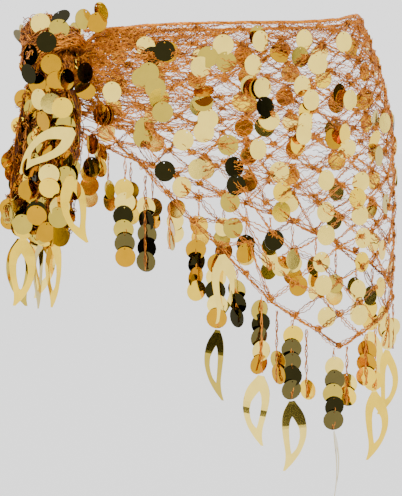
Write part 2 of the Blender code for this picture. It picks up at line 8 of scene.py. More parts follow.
import logging
import math
from bisect import bisect_right
from dataclasses import dataclass, field
from enum import Enum
from typing import Iterable, NamedTuple

import bpy
import numpy as np
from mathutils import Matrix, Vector


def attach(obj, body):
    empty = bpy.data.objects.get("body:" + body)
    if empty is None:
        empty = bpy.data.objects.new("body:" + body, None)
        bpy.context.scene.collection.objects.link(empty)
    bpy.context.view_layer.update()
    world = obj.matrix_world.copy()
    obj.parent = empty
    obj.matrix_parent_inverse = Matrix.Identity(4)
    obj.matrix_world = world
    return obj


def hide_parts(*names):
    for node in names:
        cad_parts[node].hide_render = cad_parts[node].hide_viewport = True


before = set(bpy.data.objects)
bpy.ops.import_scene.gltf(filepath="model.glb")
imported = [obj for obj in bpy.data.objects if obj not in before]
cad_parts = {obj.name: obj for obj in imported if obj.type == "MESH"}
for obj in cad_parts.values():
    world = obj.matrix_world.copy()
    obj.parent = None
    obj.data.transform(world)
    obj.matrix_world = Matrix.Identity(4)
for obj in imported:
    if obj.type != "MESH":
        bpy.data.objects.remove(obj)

LOG = logging.getLogger("hip_scarf")
MM = 0.001
BODY = "root"
UP = np.array((0.0, 0.0, 1.0))
FRONT = np.array((0.0, -1.0, 0.0))
RANDOM = np.random.default_rng(20)

# The photograph's camera. The picture's height is what it shows at the target, and its middle is in pixels.
CAMERA_DISTANCE = 2.3
CAMERA_RISE = 4.0
CAMERA_TARGET = Vector((-0.014, 0, -0.233))
PICTURE_HEIGHT = 0.496
PICTURE_MIDDLE = (201, 248)
SENSOR_WIDTH = 36


class Slot(Enum):
    """The record's material slots."""

    YARN = "copper_yarn"
    GOLD = "gold_coin"


class Tone(float, Enum):
    """Where each tone of the mirror film lies on its scale."""

    PALE = 0.2
    GOLD = 0.5
    KHAKI = 0.7
    AMBER = 0.85
    # The darkest tones are partly the film's own colour and partly painted reflection of dark surroundings.
    DARK = 0.93
    BRONZE = 0.98


class Tip(Enum):
    """The side to which a crescent's tip turns, or no crescent."""

    NONE = 0
    LEFT = -1
    RIGHT = 1


PALE, GOLD, KHAKI, AMBER, DARK, BRONZE = Tone
NONE, LEFT, RIGHT = Tip


class HipSection(NamedTuple):
    """One level of the hips that the scarf was shaped on, in millimetres."""

    height: float
    half_width: float
    half_depth: float


HIP_SECTIONS = (
    HipSection(-400, 172, 120),
    HipSection(-300, 176, 125),
    HipSection(-240, 178, 127),
    HipSection(-170, 178, 127),
    HipSection(-120, 176, 124),
    HipSection(-90, 172, 120),
    HipSection(-65, 166, 116),
    HipSection(-40, 158, 111),
    HipSection(-20, 150, 106),
    HipSection(0, 141, 101),
    HipSection(20, 135, 98),
)


class WaistPoint(NamedTuple):
    """Height of the waist cord at one angle, in degrees and millimetres."""

    angle: float
    height: float


WAIST_LINE = (
    WaistPoint(-60, -18),
    WaistPoint(-38, -16),
    WaistPoint(-25, -13.5),
    WaistPoint(-10, -12),
    WaistPoint(34, -10.5),
    WaistPoint(56, -7),
    WaistPoint(68, -3),
    WaistPoint(78, -2),
    WaistPoint(95, -6),
    WaistPoint(130, -11),
    WaistPoint(180, -13),
    WaistPoint(240, -15),
    WaistPoint(290, -18),
)

# Height of the hem in millimetres at each column of the net, from the point towards the knot along the front.
FRONT_HEM = (-320, -303, -289, -273, -248, -221, -198, -172, -146, -126, -98, -70)
BACK_HEM_END = -76
FRONT_COLUMNS = 11
BACK_COLUMNS = 25
SPLIT_COLUMN = 5
POINT_ROWS = 22
ROWS_LOST_PER_COLUMN = 0.72
ROW_STRETCH = 1.15
TOP_DROP = 5.0 * MM
# How far the hem's cord lies under the lowest knots, and how far it clears them, level and by its slope, in
# millimetres.
HEM_CORD_DROP = 3.6
HEM_CORD_CLEARANCE = 2.8
HEM_CORD_SLOPE_CLEARANCE = 3.0


def between(keys: list[float], values: list[float], key: float) -> float:
    """Reads a table.

    Args:
        keys: the table's rising first column.
        values: its second column.
        key: where to read it; the ends hold beyond the table.

    Returns:
        The value on the straight lines through the table.
    """
    place = min(max(bisect_right(keys, key), 1), len(keys) - 1)
    low, high = keys[place - 1], keys[place]
    share = min(max((key - low) / (high - low), 0), 1)
    return values[place - 1] + share * (values[place] - values[place - 1])


def unit(vector: np.ndarray) -> np.ndarray:
    """The vector, or each row of vectors, at length one."""
    return vector / np.maximum(np.linalg.norm(vector, axis=-1, keepdims=True), 1e-12)


def turned(vector: np.ndarray, axis: np.ndarray, degrees: float) -> np.ndarray:
    """The vector turned about a unit axis.

    Args:
        vector: what is turned.
        axis: the unit axis.
        degrees: how far.

    Returns:
        The turned vector.
    """
    angle = math.radians(degrees)
    return (
        vector * math.cos(angle)
        + np.cross(axis, vector) * math.sin(angle)
        + axis * float(np.dot(axis, vector)) * (1 - math.cos(angle))
    )


@dataclass(frozen=True)
class HipForm:
    """The surface of the hips that the scarf lies on."""

    sections: tuple[HipSection, ...] = HIP_SECTIONS

    def halves(self, height: float) -> tuple[float, float]:
        """The size of one level.

        Args:
            height: the level.

        Returns:
            Half its width and half its depth.
        """
        heights = [row.height for row in self.sections]
        level = height / MM
        width = between(heights, [row.half_width for row in self.sections], level)
        depth = between(heights, [row.half_depth for row in self.sections], level)
        return width * MM, depth * MM

    def point(self, angle: float, height: float, stand_off: float = 0.0) -> np.ndarray:
        """A point that stands off the surface.

        Args:
            angle: its place round the hips.
            height: its level.
            stand_off: how far it stands off.

        Returns:
            The point.
        """
        width, depth = self.halves(height)
        turn = math.radians(angle)
        return np.array(
            ((width + stand_off) * math.sin(turn), -(depth + stand_off) * math.cos(turn), height)
        )

    def axes(self, angle: float, height: float) -> tuple[np.ndarray, np.ndarray]:
        """The directions of the surface at a place.

        Args:
            angle: the place round the hips.
            height: its level.

        Returns:
            Unit vectors level along the surface and out from it.
        """
        width, depth = self.halves(height)
        turn = math.radians(angle)
        along = unit(np.array((width * math.cos(turn), depth * math.sin(turn), 0.0)))
        return along, np.array((along[1], -along[0], 0.0))


HIPS = HipForm()


@dataclass(frozen=True)
class NetLayout:
    """Where the net's knots lie: columns from the side knot round the body, and rows down from the waist."""

    start_angle: float = -48.5
    point_angle: float = 42.3
    end_angle: float = 280.0
    arc_level: float = -120 * MM
    angles: list[float] = field(default_factory=list)
    arcs: list[float] = field(default_factory=list)
    pitch: float = 19.4 * MM
    back_pitch: float = 27.0 * MM

    def __post_init__(self) -> None:
        """Measures the way round the hips."""
        self.angles.append(self.start_angle)
        self.arcs.append(0.0)
        while self.angles[-1] < self.end_angle:
            step = min(1.0, self.end_angle - self.angles[-1])
            before = HIPS.point(self.angles[-1], self.arc_level)
            self.angles.append(self.angles[-1] + step)
            after = HIPS.point(self.angles[-1], self.arc_level)
            self.arcs.append(self.arcs[-1] + float(np.linalg.norm(after - before)))

    def angle(self, column: float) -> float:
        """The angle of a column.

        Args:
            column: the column; 0 holds the point of the triangle.

        Returns:
            The angle round the hips.
        """
        middle = between(self.angles, self.arcs, self.point_angle)
        if column < 0:
            pitch = middle / FRONT_COLUMNS
        else:
            pitch = (self.arcs[-1] - middle) / BACK_COLUMNS
        return between(self.arcs, self.angles, middle + column * pitch)

    def waist(self, angle: float) -> float:
        """Height of the waist cord."""
        return between([p.angle for p in WAIST_LINE], [p.height for p in WAIST_LINE], angle) * MM

    def hem(self, column: float) -> float:
        """Height of the lowest knots.

        Args:
            column: the place along the hem.

        Returns:
            The height.
        """
        if column < 0:
            return between(list(range(len(FRONT_HEM))), [float(h) for h in FRONT_HEM], -column) * MM
        return (FRONT_HEM[0] + (BACK_HEM_END - FRONT_HEM[0]) * column / BACK_COLUMNS) * MM

    def hem_cord(self, column: float) -> float:
        """Height of the cord that edges the hem, clear of the lowest knots and strands.

        Args:
            column: the place along the hem.

        Returns:
            The height.
        """
        pitch = self.pitch if column < 0 else self.back_pitch
        slope = abs(self.hem(column + 0.5) - self.hem(column - 0.5)) / pitch
        clearance = max(HEM_CORD_CLEARANCE, HEM_CORD_SLOPE_CLEARANCE * slope) * MM
        return self.hem(column) - clearance - HEM_CORD_DROP * MM

    def hem_row(self, column: int) -> int:
        """The lowest row of a column; rows are odd on odd columns and even on even ones."""
        odd = column % 2
        return 2 * round((POINT_ROWS - ROWS_LOST_PER_COLUMN * abs(column) - odd) / 2) + odd

    def height(self, column: int, row: int) -> float:
        """Height of a knot."""
        top = self.waist(self.angle(column)) - TOP_DROP
        return top + (self.hem(column) - top) * (row / self.hem_row(column)) ** ROW_STRETCH

    def rows(self, column: int) -> range:
        """The rows at which a column has knots."""
        return range(column % 2, self.hem_row(column) + 1, 2)


NET = NetLayout()


# How fine a finish's grain is, where on it the two tones start to blend and end, and its depth as bumps.
GRAIN_DETAIL = 3.0
GRAIN_BLEND = (0.36, 0.62)
BUMP_HEIGHT = 0.3 * MM
# The colour sockets of a Mix node: both inputs and the result.
MIX_FIRST, MIX_SECOND, MIX_RESULT = 6, 7, 2


@dataclass(frozen=True)
class Finish:
    """A procedural surface: a colour that wanders between two tones, and how it takes light."""

    name: str
    tone: tuple[float, float, float]
    other_tone: tuple[float, float, float]
    roughness: float
    metallic: float
    grain: float
    bump: float

    def material(self) -> bpy.types.Material:
        """Makes the material on first use.

        Returns:
            A node material whose grain follows the object's own coordinates.
        """
        found = bpy.data.materials.get(self.name)
        if found:
            return found
        made = bpy.data.materials.new(self.name)
        made.use_nodes = True
        nodes, links = made.node_tree.nodes, made.node_tree.links
        shader = nodes["Principled BSDF"]
        shader.inputs["Roughness"].default_value = self.roughness
        shader.inputs["Metallic"].default_value = self.metallic
        place = nodes.new("ShaderNodeTexCoord")
        noise = nodes.new("ShaderNodeTexNoise")
        noise.inputs["Scale"].default_value = self.grain
        noise.inputs["Detail"].default_value = GRAIN_DETAIL
        links.new(place.outputs["Object"], noise.inputs["Vector"])
        ramp = nodes.new("ShaderNodeValToRGB")
        tones = (self.other_tone, self.tone)
        for element, position, tone in zip(ramp.color_ramp.elements, GRAIN_BLEND, tones):
            element.position = position
            element.color = (*tone, 1)
        links.new(noise.outputs["Fac"], ramp.inputs["Fac"])
        links.new(ramp.outputs["Color"], shader.inputs["Base Color"])
        bump = nodes.new("ShaderNodeBump")
        bump.inputs["Strength"].default_value = self.bump
        bump.inputs["Distance"].default_value = BUMP_HEIGHT
        links.new(noise.outputs["Fac"], bump.inputs["Height"])
        links.new(bump.outputs["Normal"], shader.inputs["Normal"])
        self.colour(nodes, links, ramp, shader)
        return made

    def colour(
        self, nodes: bpy.types.Nodes, links: bpy.types.NodeLinks, ramp: bpy.types.Node, shader: bpy.types.Node
    ) -> None:
        """Room for a finish that colours its pieces one by one."""


@dataclass(frozen=True)
class ToneFinish(Finish):
    """A surface whose coins or threads each have a tone of their own, kept in the mesh attribute 'tone'. On
    threads the dark tones are painted shade, and on coins the darkest tones are partly painted reflection.
    """

    tones: tuple[tuple[float, tuple[float, float, float]], ...] = ()
    stepped: bool = True

    def colour(
        self, nodes: bpy.types.Nodes, links: bpy.types.NodeLinks, ramp: bpy.types.Node, shader: bpy.types.Node
    ) -> None:
        """Colours each coin or thread by its own tone; on threads this includes painted shade, on the darkest
        coins painted reflection.

        Args:
            nodes: the material's nodes.
            links: their links.
            ramp: the node that gives the grain's colour.
            shader: the node that takes the colour.
        """
        tone = nodes.new("ShaderNodeAttribute")
        tone.attribute_name = "tone"
        film = nodes.new("ShaderNodeValToRGB")
        film.color_ramp.interpolation = "CONSTANT" if self.stepped else "LINEAR"
        for step, (position, shade) in enumerate(self.tones):
            if step > 1:
                film.color_ramp.elements.new(position)
            film.color_ramp.elements[step].position = position
            film.color_ramp.elements[step].color = (*shade, 1)
        mix = nodes.new("ShaderNodeMix")
        mix.data_type = "RGBA"
        mix.blend_type = "MULTIPLY"
        mix.inputs[0].default_value = 1.0
        links.new(tone.outputs["Fac"], film.inputs["Fac"])
        links.new(film.outputs["Color"], mix.inputs[MIX_FIRST])
        links.new(ramp.outputs["Color"], mix.inputs[MIX_SECOND])
        links.new(mix.outputs[MIX_RESULT], shader.inputs["Base Color"])


# Where on the attribute's scale each tone of the film starts, and the tone. The two darkest tones are partly
# the film's own dark colour and partly painted reflection of dark surroundings.
FILM_TONES = (
    (0.0, (1.0, 0.75, 0.14)),
    (0.36, (0.95, 0.63, 0.035)),
    (0.62, (0.52, 0.38, 0.045)),
    (0.78, (0.52, 0.26, 0.0015)),
    (0.90, (0.022, 0.019, 0.006)),
    (0.96, (0.11, 0.088, 0.028)),
)
# Painted shade: each thread gets a random brightness on this scale, and its dark end darkens threads as if
# they lay in shade.
THREAD_TONE_AND_SHADE = ((0.0, (0.16, 0.10, 0.09)), (0.35, (0.76, 0.64, 0.56)), (1.0, (1.0, 1.0, 1.0)))
YARN = ToneFinish(
    "yarn_copper", (0.98, 0.38, 0.018), (0.55, 0.16, 0.007),
    roughness=0.34, metallic=0.5, grain=420, bump=0.4, tones=THREAD_TONE_AND_SHADE, stepped=False,
)
# Painted shade: the same copper yarn with a darker grain, for the yarn gathered in the knot and the tails.
SHADED_GATHERED = ToneFinish(
    "yarn_gathered_painted_shade", (0.92, 0.33, 0.018), (0.22, 0.055, 0.005),
    roughness=0.36, metallic=0.45, grain=260, bump=0.6, tones=THREAD_TONE_AND_SHADE, stepped=False,
)
# Painted shade: a dark solid inside the knot and the tails that stands for the shade among the gathered yarn.
PAINTED_SHADE_FILL = Finish(
    "yarn_in_shade", (0.20, 0.055, 0.014), (0.04, 0.012, 0.005),
    roughness=0.85, metallic=0.0, grain=520, bump=1.0,
)
FILM = ToneFinish(
    "mirror_film", (1.0, 1.0, 1.0), (0.93, 0.93, 0.93),
    roughness=0.08, metallic=1.0, grain=90, bump=0.05, tones=FILM_TONES,
)


def declare(piece: bpy.types.Object, nodes: Iterable[str] = ()) -> bpy.types.Object:
    """Ties a finished piece to the frame.

    Args:
        piece: the new object.
        nodes: the CAD nodes that it stands for.

    Returns:
        The piece.
    """
    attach(piece, BODY)
    for node in nodes:
        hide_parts(node)
    LOG.info("%s: %d faces", piece.name, len(piece.data.polygons))
    return piece


def mesh_object(
    name: str, points: np.ndarray, faces: list, finish: Finish, tones: np.ndarray | None = None,
    smooth: bool = True,
) -> bpy.types.Object:
    """Makes an object from arrays.

    Args:
        name: the piece's name.
        points: one row for each point.
        faces: point numbers of each face, anticlockwise from outside.
        finish: its surface.
        tones: the tone at each point, for coins and threads, with painted shade on threads and painted
            reflection on the darkest coins.
        smooth: whether it is shaded smooth.

    Returns:
        The object, in the scene.
    """
    mesh = bpy.data.meshes.new(name)
    mesh.from_pydata(np.asarray(points).tolist(), [], [list(map(int, face)) for face in faces])
    mesh.polygons.foreach_set("use_smooth", np.full(len(mesh.polygons), smooth))
    if tones is not None:
        tone = mesh.attributes.new("tone", "FLOAT", "POINT")
        tone.data.foreach_set("value", np.asarray(tones, np.float32))
    mesh.materials.append(finish.material())
    mesh.update()
    made = bpy.data.objects.new(name, mesh)
    bpy.context.scene.collection.objects.link(made)
    return made


KINK_LENGTH = 6.0 * MM
KINK_SIZE = 0.6 * MM
# A direction that no thread runs along.
LEAN = np.array((0.31, 0.53, 0.79))


@dataclass
class Yarn:
    """Gathers threads as lines and spins them into one mesh of fine tubes."""

    radius: float = 0.5 * MM
    sides: int = 4
    lines: list[np.ndarray] = field(default_factory=list)

    def add(self, line: np.ndarray) -> None:
        """Adds a thread along a line of points."""
        self.lines.append(np.asarray(line, float))

    def strand(
        self, start: np.ndarray, end: np.ndarray, out: np.ndarray, sag: float, wave: float, steps: int = 14
    ) -> None:
        """Adds a loose, kinked thread between two points.

        Args:
            start: where it leaves.
            end: where it arrives.
            out: unit vector out from the cloth.
            sag: how far its middle hangs down.
            wave: how far it wanders.
            steps: its number of segments.
        """
        share = np.linspace(0, 1, steps + 1)
        aside = unit(np.cross(end - start, out))
        phase = RANDOM.uniform(0, math.tau, 4)
        bow = RANDOM.normal(0, 1, 2) * wave
        hump = np.sin(math.pi * share)
        kinks = float(np.linalg.norm(end - start)) / KINK_LENGTH * RANDOM.uniform(0.8, 1.2)
        kink = KINK_SIZE * np.sin(math.tau * kinks * share + phase[0])
        wander = 0.4 * wave * np.sin(math.tau * 1.1 * share + phase[1]) * hump**0.5
        depth = 0.8 * KINK_SIZE * np.cos(math.tau * kinks * share + phase[2])
        line = start + np.outer(share, end - start)
        line = line + np.outer(bow[0] * hump + wander + kink, aside)
        line = line + np.outer(0.5 * abs(bow[1]) * hump + depth, out) - np.outer(sag * hump, UP)
        self.add(line)

    def tangle(self, centre: np.ndarray, along: np.ndarray, out: np.ndarray, size: float, loops: int) -> None:
        """Adds loose loops round a knot.

        Args:
            centre: the knot's middle.
            along: unit vector along the cloth.
            out: unit vector out from the cloth.
            size: how far the loops reach.
            loops: their number.
        """
        lap = np.linspace(0, math.tau * 1.15, 11)
        for _ in range(loops):
            phase = RANDOM.uniform(0, math.tau, 3)
            reach = size * RANDOM.uniform(0.45, 1.1, 3)
            shift = RANDOM.normal(0, 0.28 * size, 2)
            line = (
                centre
                + along * shift[0]
                + UP * shift[1]
                + np.outer(reach[0] * np.cos(lap + phase[0]), along)
                + np.outer(reach[1] * 0.8 * np.sin(lap * 1.4 + phase[1]), UP)
                + np.outer(0.8 * MM + 0.35 * reach[2] * np.sin(lap + phase[2]), out)
            )
            self.add(line)

    def spin(self, name: str, finish: Finish = YARN) -> bpy.types.Object:
        """Makes the tubes.

        Args:
            name: the piece's name.
            finish: its surface.

        Returns:
            The object.
        """
        points, faces, tones, start = [], [], [], 0
        corner = np.arange(self.sides)
        turn = corner * math.tau / self.sides
        for line in self.lines:
            tangent = unit(np.gradient(line, axis=0))
            first = unit(np.cross(tangent, LEAN))
            second = np.cross(tangent, first)
            ring = (
                line[:, None]
                + self.radius * np.cos(turn)[None, :, None] * first[:, None]
                + self.radius * np.sin(turn)[None, :, None] * second[:, None]
            )
            count = len(line)
            points.append(ring.reshape(-1, 3))
            # A random tone for each thread, read through the thread scale, so that some threads get painted
            # shade.
            tones.append(np.full(count * self.sides, RANDOM.random()))
            level = start + np.arange(count - 1)[:, None] * self.sides
            low, after = level + corner, level + (corner + 1) % self.sides
            quads = np.stack((low, after, after + self.sides, low + self.sides), -1).reshape(-1, 4)
            faces.extend(quads.tolist())
            faces.append((start + corner[::-1]).tolist())
            faces.append((start + (count - 1) * self.sides + corner).tolist())
            start += count * self.sides
        return mesh_object(name, np.concatenate(points), faces, finish, np.concatenate(tones))


def thickened(outer: np.ndarray, inner: np.ndarray, faces: list) -> list:
    """Faces of both skins and of the rim between them.

    Args:
        outer: points of the outer skin.
        inner: points of the inner skin, in the same order.
        faces: the outer skin's faces.

    Returns:
        Faces over the outer points followed by the inner ones.
    """
    count = len(outer)
    ends = {(a, b) for face in faces for a, b in zip(face, face[1:] + face[:1])}
    rim = [[b, a, a + count, b + count] for a, b in sorted(ends) if (b, a) not in ends]
    return [list(f) for f in faces] + [[c + count for c in reversed(f)] for f in faces] + rim


@dataclass(frozen=True)
class FlatPiece:
    """A flat piece of film in its own plane: across, down from its thread hole, and its faces."""

    across: np.ndarray
    down: np.ndarray
    faces: list
    thickness: float

    def placed(
        self, hook: np.ndarray, across: np.ndarray, down: np.ndarray, curl: float = 0.0
    ) -> tuple[np.ndarray, list]:
        """Its points and faces when it hangs.

        Args:
            hook: where its thread hole is.
            across: unit vector of its width.
            down: unit vector from the hole to its far end.
            curl: how far its middle stands proud of its edges.

        Returns:
            Points and faces.
        """
        normal = np.cross(down, across)
        reach = self.down / max(self.down.max(), 1e-9)
        swell = curl * np.sin(math.pi * np.clip(reach, 0, 1))
        middle = hook + np.outer(self.across, across) + np.outer(self.down, down) + np.outer(swell, normal)
        half = normal * self.thickness / 2
        outer, inner = middle + half, middle - half
        return np.concatenate((outer, inner)), thickened(outer, inner, self.faces)


COIN_RADIUS = 10.0 * MM
COIN_HOOK = 8.0 * MM
COIN_HOLE = 0.7 * MM
COIN_THICKNESS = 0.45 * MM
COIN_SIDES = 18


def coin_piece() -> FlatPiece:
    """Models a round coin with its thread hole near the rim.

    Returns:
        The coin.
    """
    lap = np.arange(COIN_SIDES) * math.tau / COIN_SIDES
    rim = np.stack((COIN_RADIUS * np.sin(lap), COIN_HOOK - COIN_RADIUS * np.cos(lap)), -1)
    hole = np.stack((COIN_HOLE * np.sin(lap), -COIN_HOLE * np.cos(lap)), -1)
    points = np.concatenate((rim, hole))
    faces = []
    for corner in range(COIN_SIDES):
        after = (corner + 1) % COIN_SIDES
        faces.append([corner, corner + COIN_SIDES, after + COIN_SIDES, after])
    return FlatPiece(points[:, 0], points[:, 1], faces, COIN_THICKNESS)


class OutlinePoint(NamedTuple):
    """One level of the crescent, in millimetres: its outline and its cut-out's two edges."""

    down: float
    left: float
    hole_left: float
    hole_right: float
    right: float


CRESCENT = (
    OutlinePoint(-1.5, -3.0, 0, 0, 2.4),
    OutlinePoint(3, -7.0, 0, 0, 6.0),
    OutlinePoint(8, -10.6, -0.5, -0.5, 9.6),
    OutlinePoint(13, -12.4, -1.5, -1.5, 12.0),
    OutlinePoint(17, -13.2, -4.4, 1.4, 13.0),
    OutlinePoint(25, -13.4, -6.0, 5.6, 13.8),
    OutlinePoint(33, -12.4, -5.8, 6.0, 13.0),
    OutlinePoint(40, -11.0, -5.0, 4.4, 10.8),
    OutlinePoint(46, -9.6, -3.8, 1.4, 8.0),
    OutlinePoint(49, -9.2, -2.8, -2.8, 6.4),
    OutlinePoint(54, -8.8, -3.4, -3.4, 2.8),
    OutlinePoint(60, -9.2, -5.8, -5.8, -2.4),
    OutlinePoint(65, -10.8, -9.8, -9.8, -8.6),
)
HOLE_TOP = 13.0
HOLE_FOOT = 49.0
CRESCENT_LEVELS = 24
CRESCENT_THICKNESS = 0.5 * MM
# The levels round its own that an outer edge is averaged over, in millimetres.
EDGE_SPREAD = (-1.5, 0, 1.5)


def crescent_edge(name: str, level: float, spread: tuple[float, ...] = (0,)) -> float:
    """How far across one edge of the crescent lies.

    Args:
        name: the edge, as in OutlinePoint.
        level: how far down, in millimetres.
        spread: the levels round it to average over.

    Returns:
        The distance in millimetres.
    """
    downs, edge = [p.down for p in CRESCENT], [getattr(p, name) for p in CRESCENT]
    return sum(between(downs, edge, level + shift) for shift in spread) / len(spread)


def crescent_piece() -> FlatPiece:
    """Models a crescent with a leaf-shaped cut-out, its tip to the left.

    Returns:
        The crescent.
    """
    levels = set(np.linspace(CRESCENT[0].down, CRESCENT[-1].down, CRESCENT_LEVELS).tolist())
    points, left, right = [], [], []
    for level in sorted(levels | {HOLE_TOP, HOLE_FOOT}):
        hole = ("hole_left", "hole_right") if HOLE_TOP < level < HOLE_FOOT else ("hole_left",)
        row = [crescent_edge("left", level, EDGE_SPREAD)]
        row += [crescent_edge(name, level) for name in hole]
        row += [crescent_edge("right", level, EDGE_SPREAD)]
        start = len(points)
        points += [(x, level) for x in row]
        left.append((start, start + 1))
        right.append((start + len(row) - 2, start + len(row) - 1))
    faces = []
    for side in (left, right):
        faces += [[a[0], b[0], b[1], a[1]] for a, b in zip(side, side[1:])]
    flat = np.array(points) * MM
    return FlatPiece(flat[:, 0], flat[:, 1], faces, CRESCENT_THICKNESS)


COIN = coin_piece()
CRESCENT_PIECE = crescent_piece()


class LaidCoin(NamedTuple):
    """A coin or crescent laid one by one: its place in millimetres, its tone and its turns in degrees."""

    x: float
    y: float
    z: float
    tone: float
    yaw: float
    pitch: float
    roll: float


KNOT_COINS = (
    LaidCoin(-167, -92, -12, PALE, -15, 0, 20),
    LaidCoin(-149, -98, -17, KHAKI, 10, -25, 10),
    LaidCoin(-160, -112, -30, DARK, -10, 0, -30),
    LaidCoin(-176, -101, -42, DARK, -45, 0, 0),
    LaidCoin(-178, -100, -60, DARK, -30, 20, -40),
    LaidCoin(-156, -109, -51, AMBER, 0, 10, 20),
    LaidCoin(-151, -106, -67, AMBER, 15, 15, -20),
    LaidCoin(-141, -109, -65, KHAKI, 50, 0, 35),
    LaidCoin(-124, -105, -59, DARK, 45, 0, 10),
    LaidCoin(-124, -102, -76, AMBER, 20, -35, 10),
    LaidCoin(-126, -95, -8, KHAKI, 40, 0, -25),
    LaidCoin(-113, -92, -11, AMBER, 0, -15, 10),
    LaidCoin(-109, -93, -1, GOLD, -60, 20, 40),
    LaidCoin(-170, -96, -69, AMBER, -30, 0, 0),
    LaidCoin(-148, -88, -6, DARK, 0, -50, 30),
)
TAIL_COINS = (
    LaidCoin(-168, -104, -84, PALE, -40, 5, 0),
    LaidCoin(-156, -114, -88, PALE, 0, 8, -6),
    LaidCoin(-145, -118, -92, GOLD, 6, 8, 8),
    LaidCoin(-142, -114, -109, KHAKI, -20, 10, 15),
    LaidCoin(-164, -106, -105, AMBER, -50, 10, 0),
    LaidCoin(-143, -112, -141, AMBER, -35, 0, 10),
    LaidCoin(-176, -108, -148, AMBER, 40, 10, 0),
    LaidCoin(-158, -116, -155, PALE, 4, 8, 0),
    LaidCoin(-142, -114, -157, KHAKI, -15, 10, 10),
    LaidCoin(-158, -114, -168, GOLD, -8, 20, 6),
    LaidCoin(-148, -115, -186, PALE, 15, 6, 5),
    LaidCoin(-170, -114, -194, AMBER, -10, 14, -10),
    LaidCoin(-149, -117, -196, KHAKI, -8, 4, 6),
    LaidCoin(-184, -108, -203, KHAKI, -12, 8, 0),
    LaidCoin(-179, -106, -170, AMBER, 30, 5, 0),
    LaidCoin(-187, -102, -185, KHAKI, 45, 0, 0),
    LaidCoin(-134, -110, -170, AMBER, -50, 0, 0),
    LaidCoin(-161, -115, -210, AMBER, 30, 8, 0),
    LaidCoin(-148, -114, -214, AMBER, -25, 5, 0),
)


class NetCoin(NamedTuple):
    """A coin on the front of the net, as the camera sees it.

    Its middle is in millimetres from the picture's left and top at the target's distance. Its width is a
    share of its height, and is negative where it faces left. It stands off the net, in millimetres.
    """

    across: float
    down: float
    width: float
    stand_off: float
    tone: float
    roll: float = 0.0
    pitch: float = 0.0

    def place(self) -> tuple[float, float]:
        """Halves the camera's line until it meets the hips.

        Returns:
            Its angle and height there.
        """
        rise = math.radians(CAMERA_RISE)
        target = np.array(CAMERA_TARGET)
        camera = target + np.array((0, -math.cos(rise), math.sin(rise))) * CAMERA_DISTANCE
        across, down = self.across - PICTURE_MIDDLE[0], self.down - PICTURE_MIDDLE[1]
        aim = target + np.array((across, -down * math.sin(rise), -down * math.cos(rise))) * MM
        outside, inside = 0.0, camera[1] / (camera[1] - aim[1])
        for _ in range(24):
            reach = (outside + inside) / 2
            x, y, z = camera + (aim - camera) * reach
            width, depth = HIPS.halves(z)
            if math.hypot(x / width, y / depth) < 1:
                inside = reach
            else:
                outside = reach
        return math.degrees(math.atan2(x / width, -y / depth)), float(z)


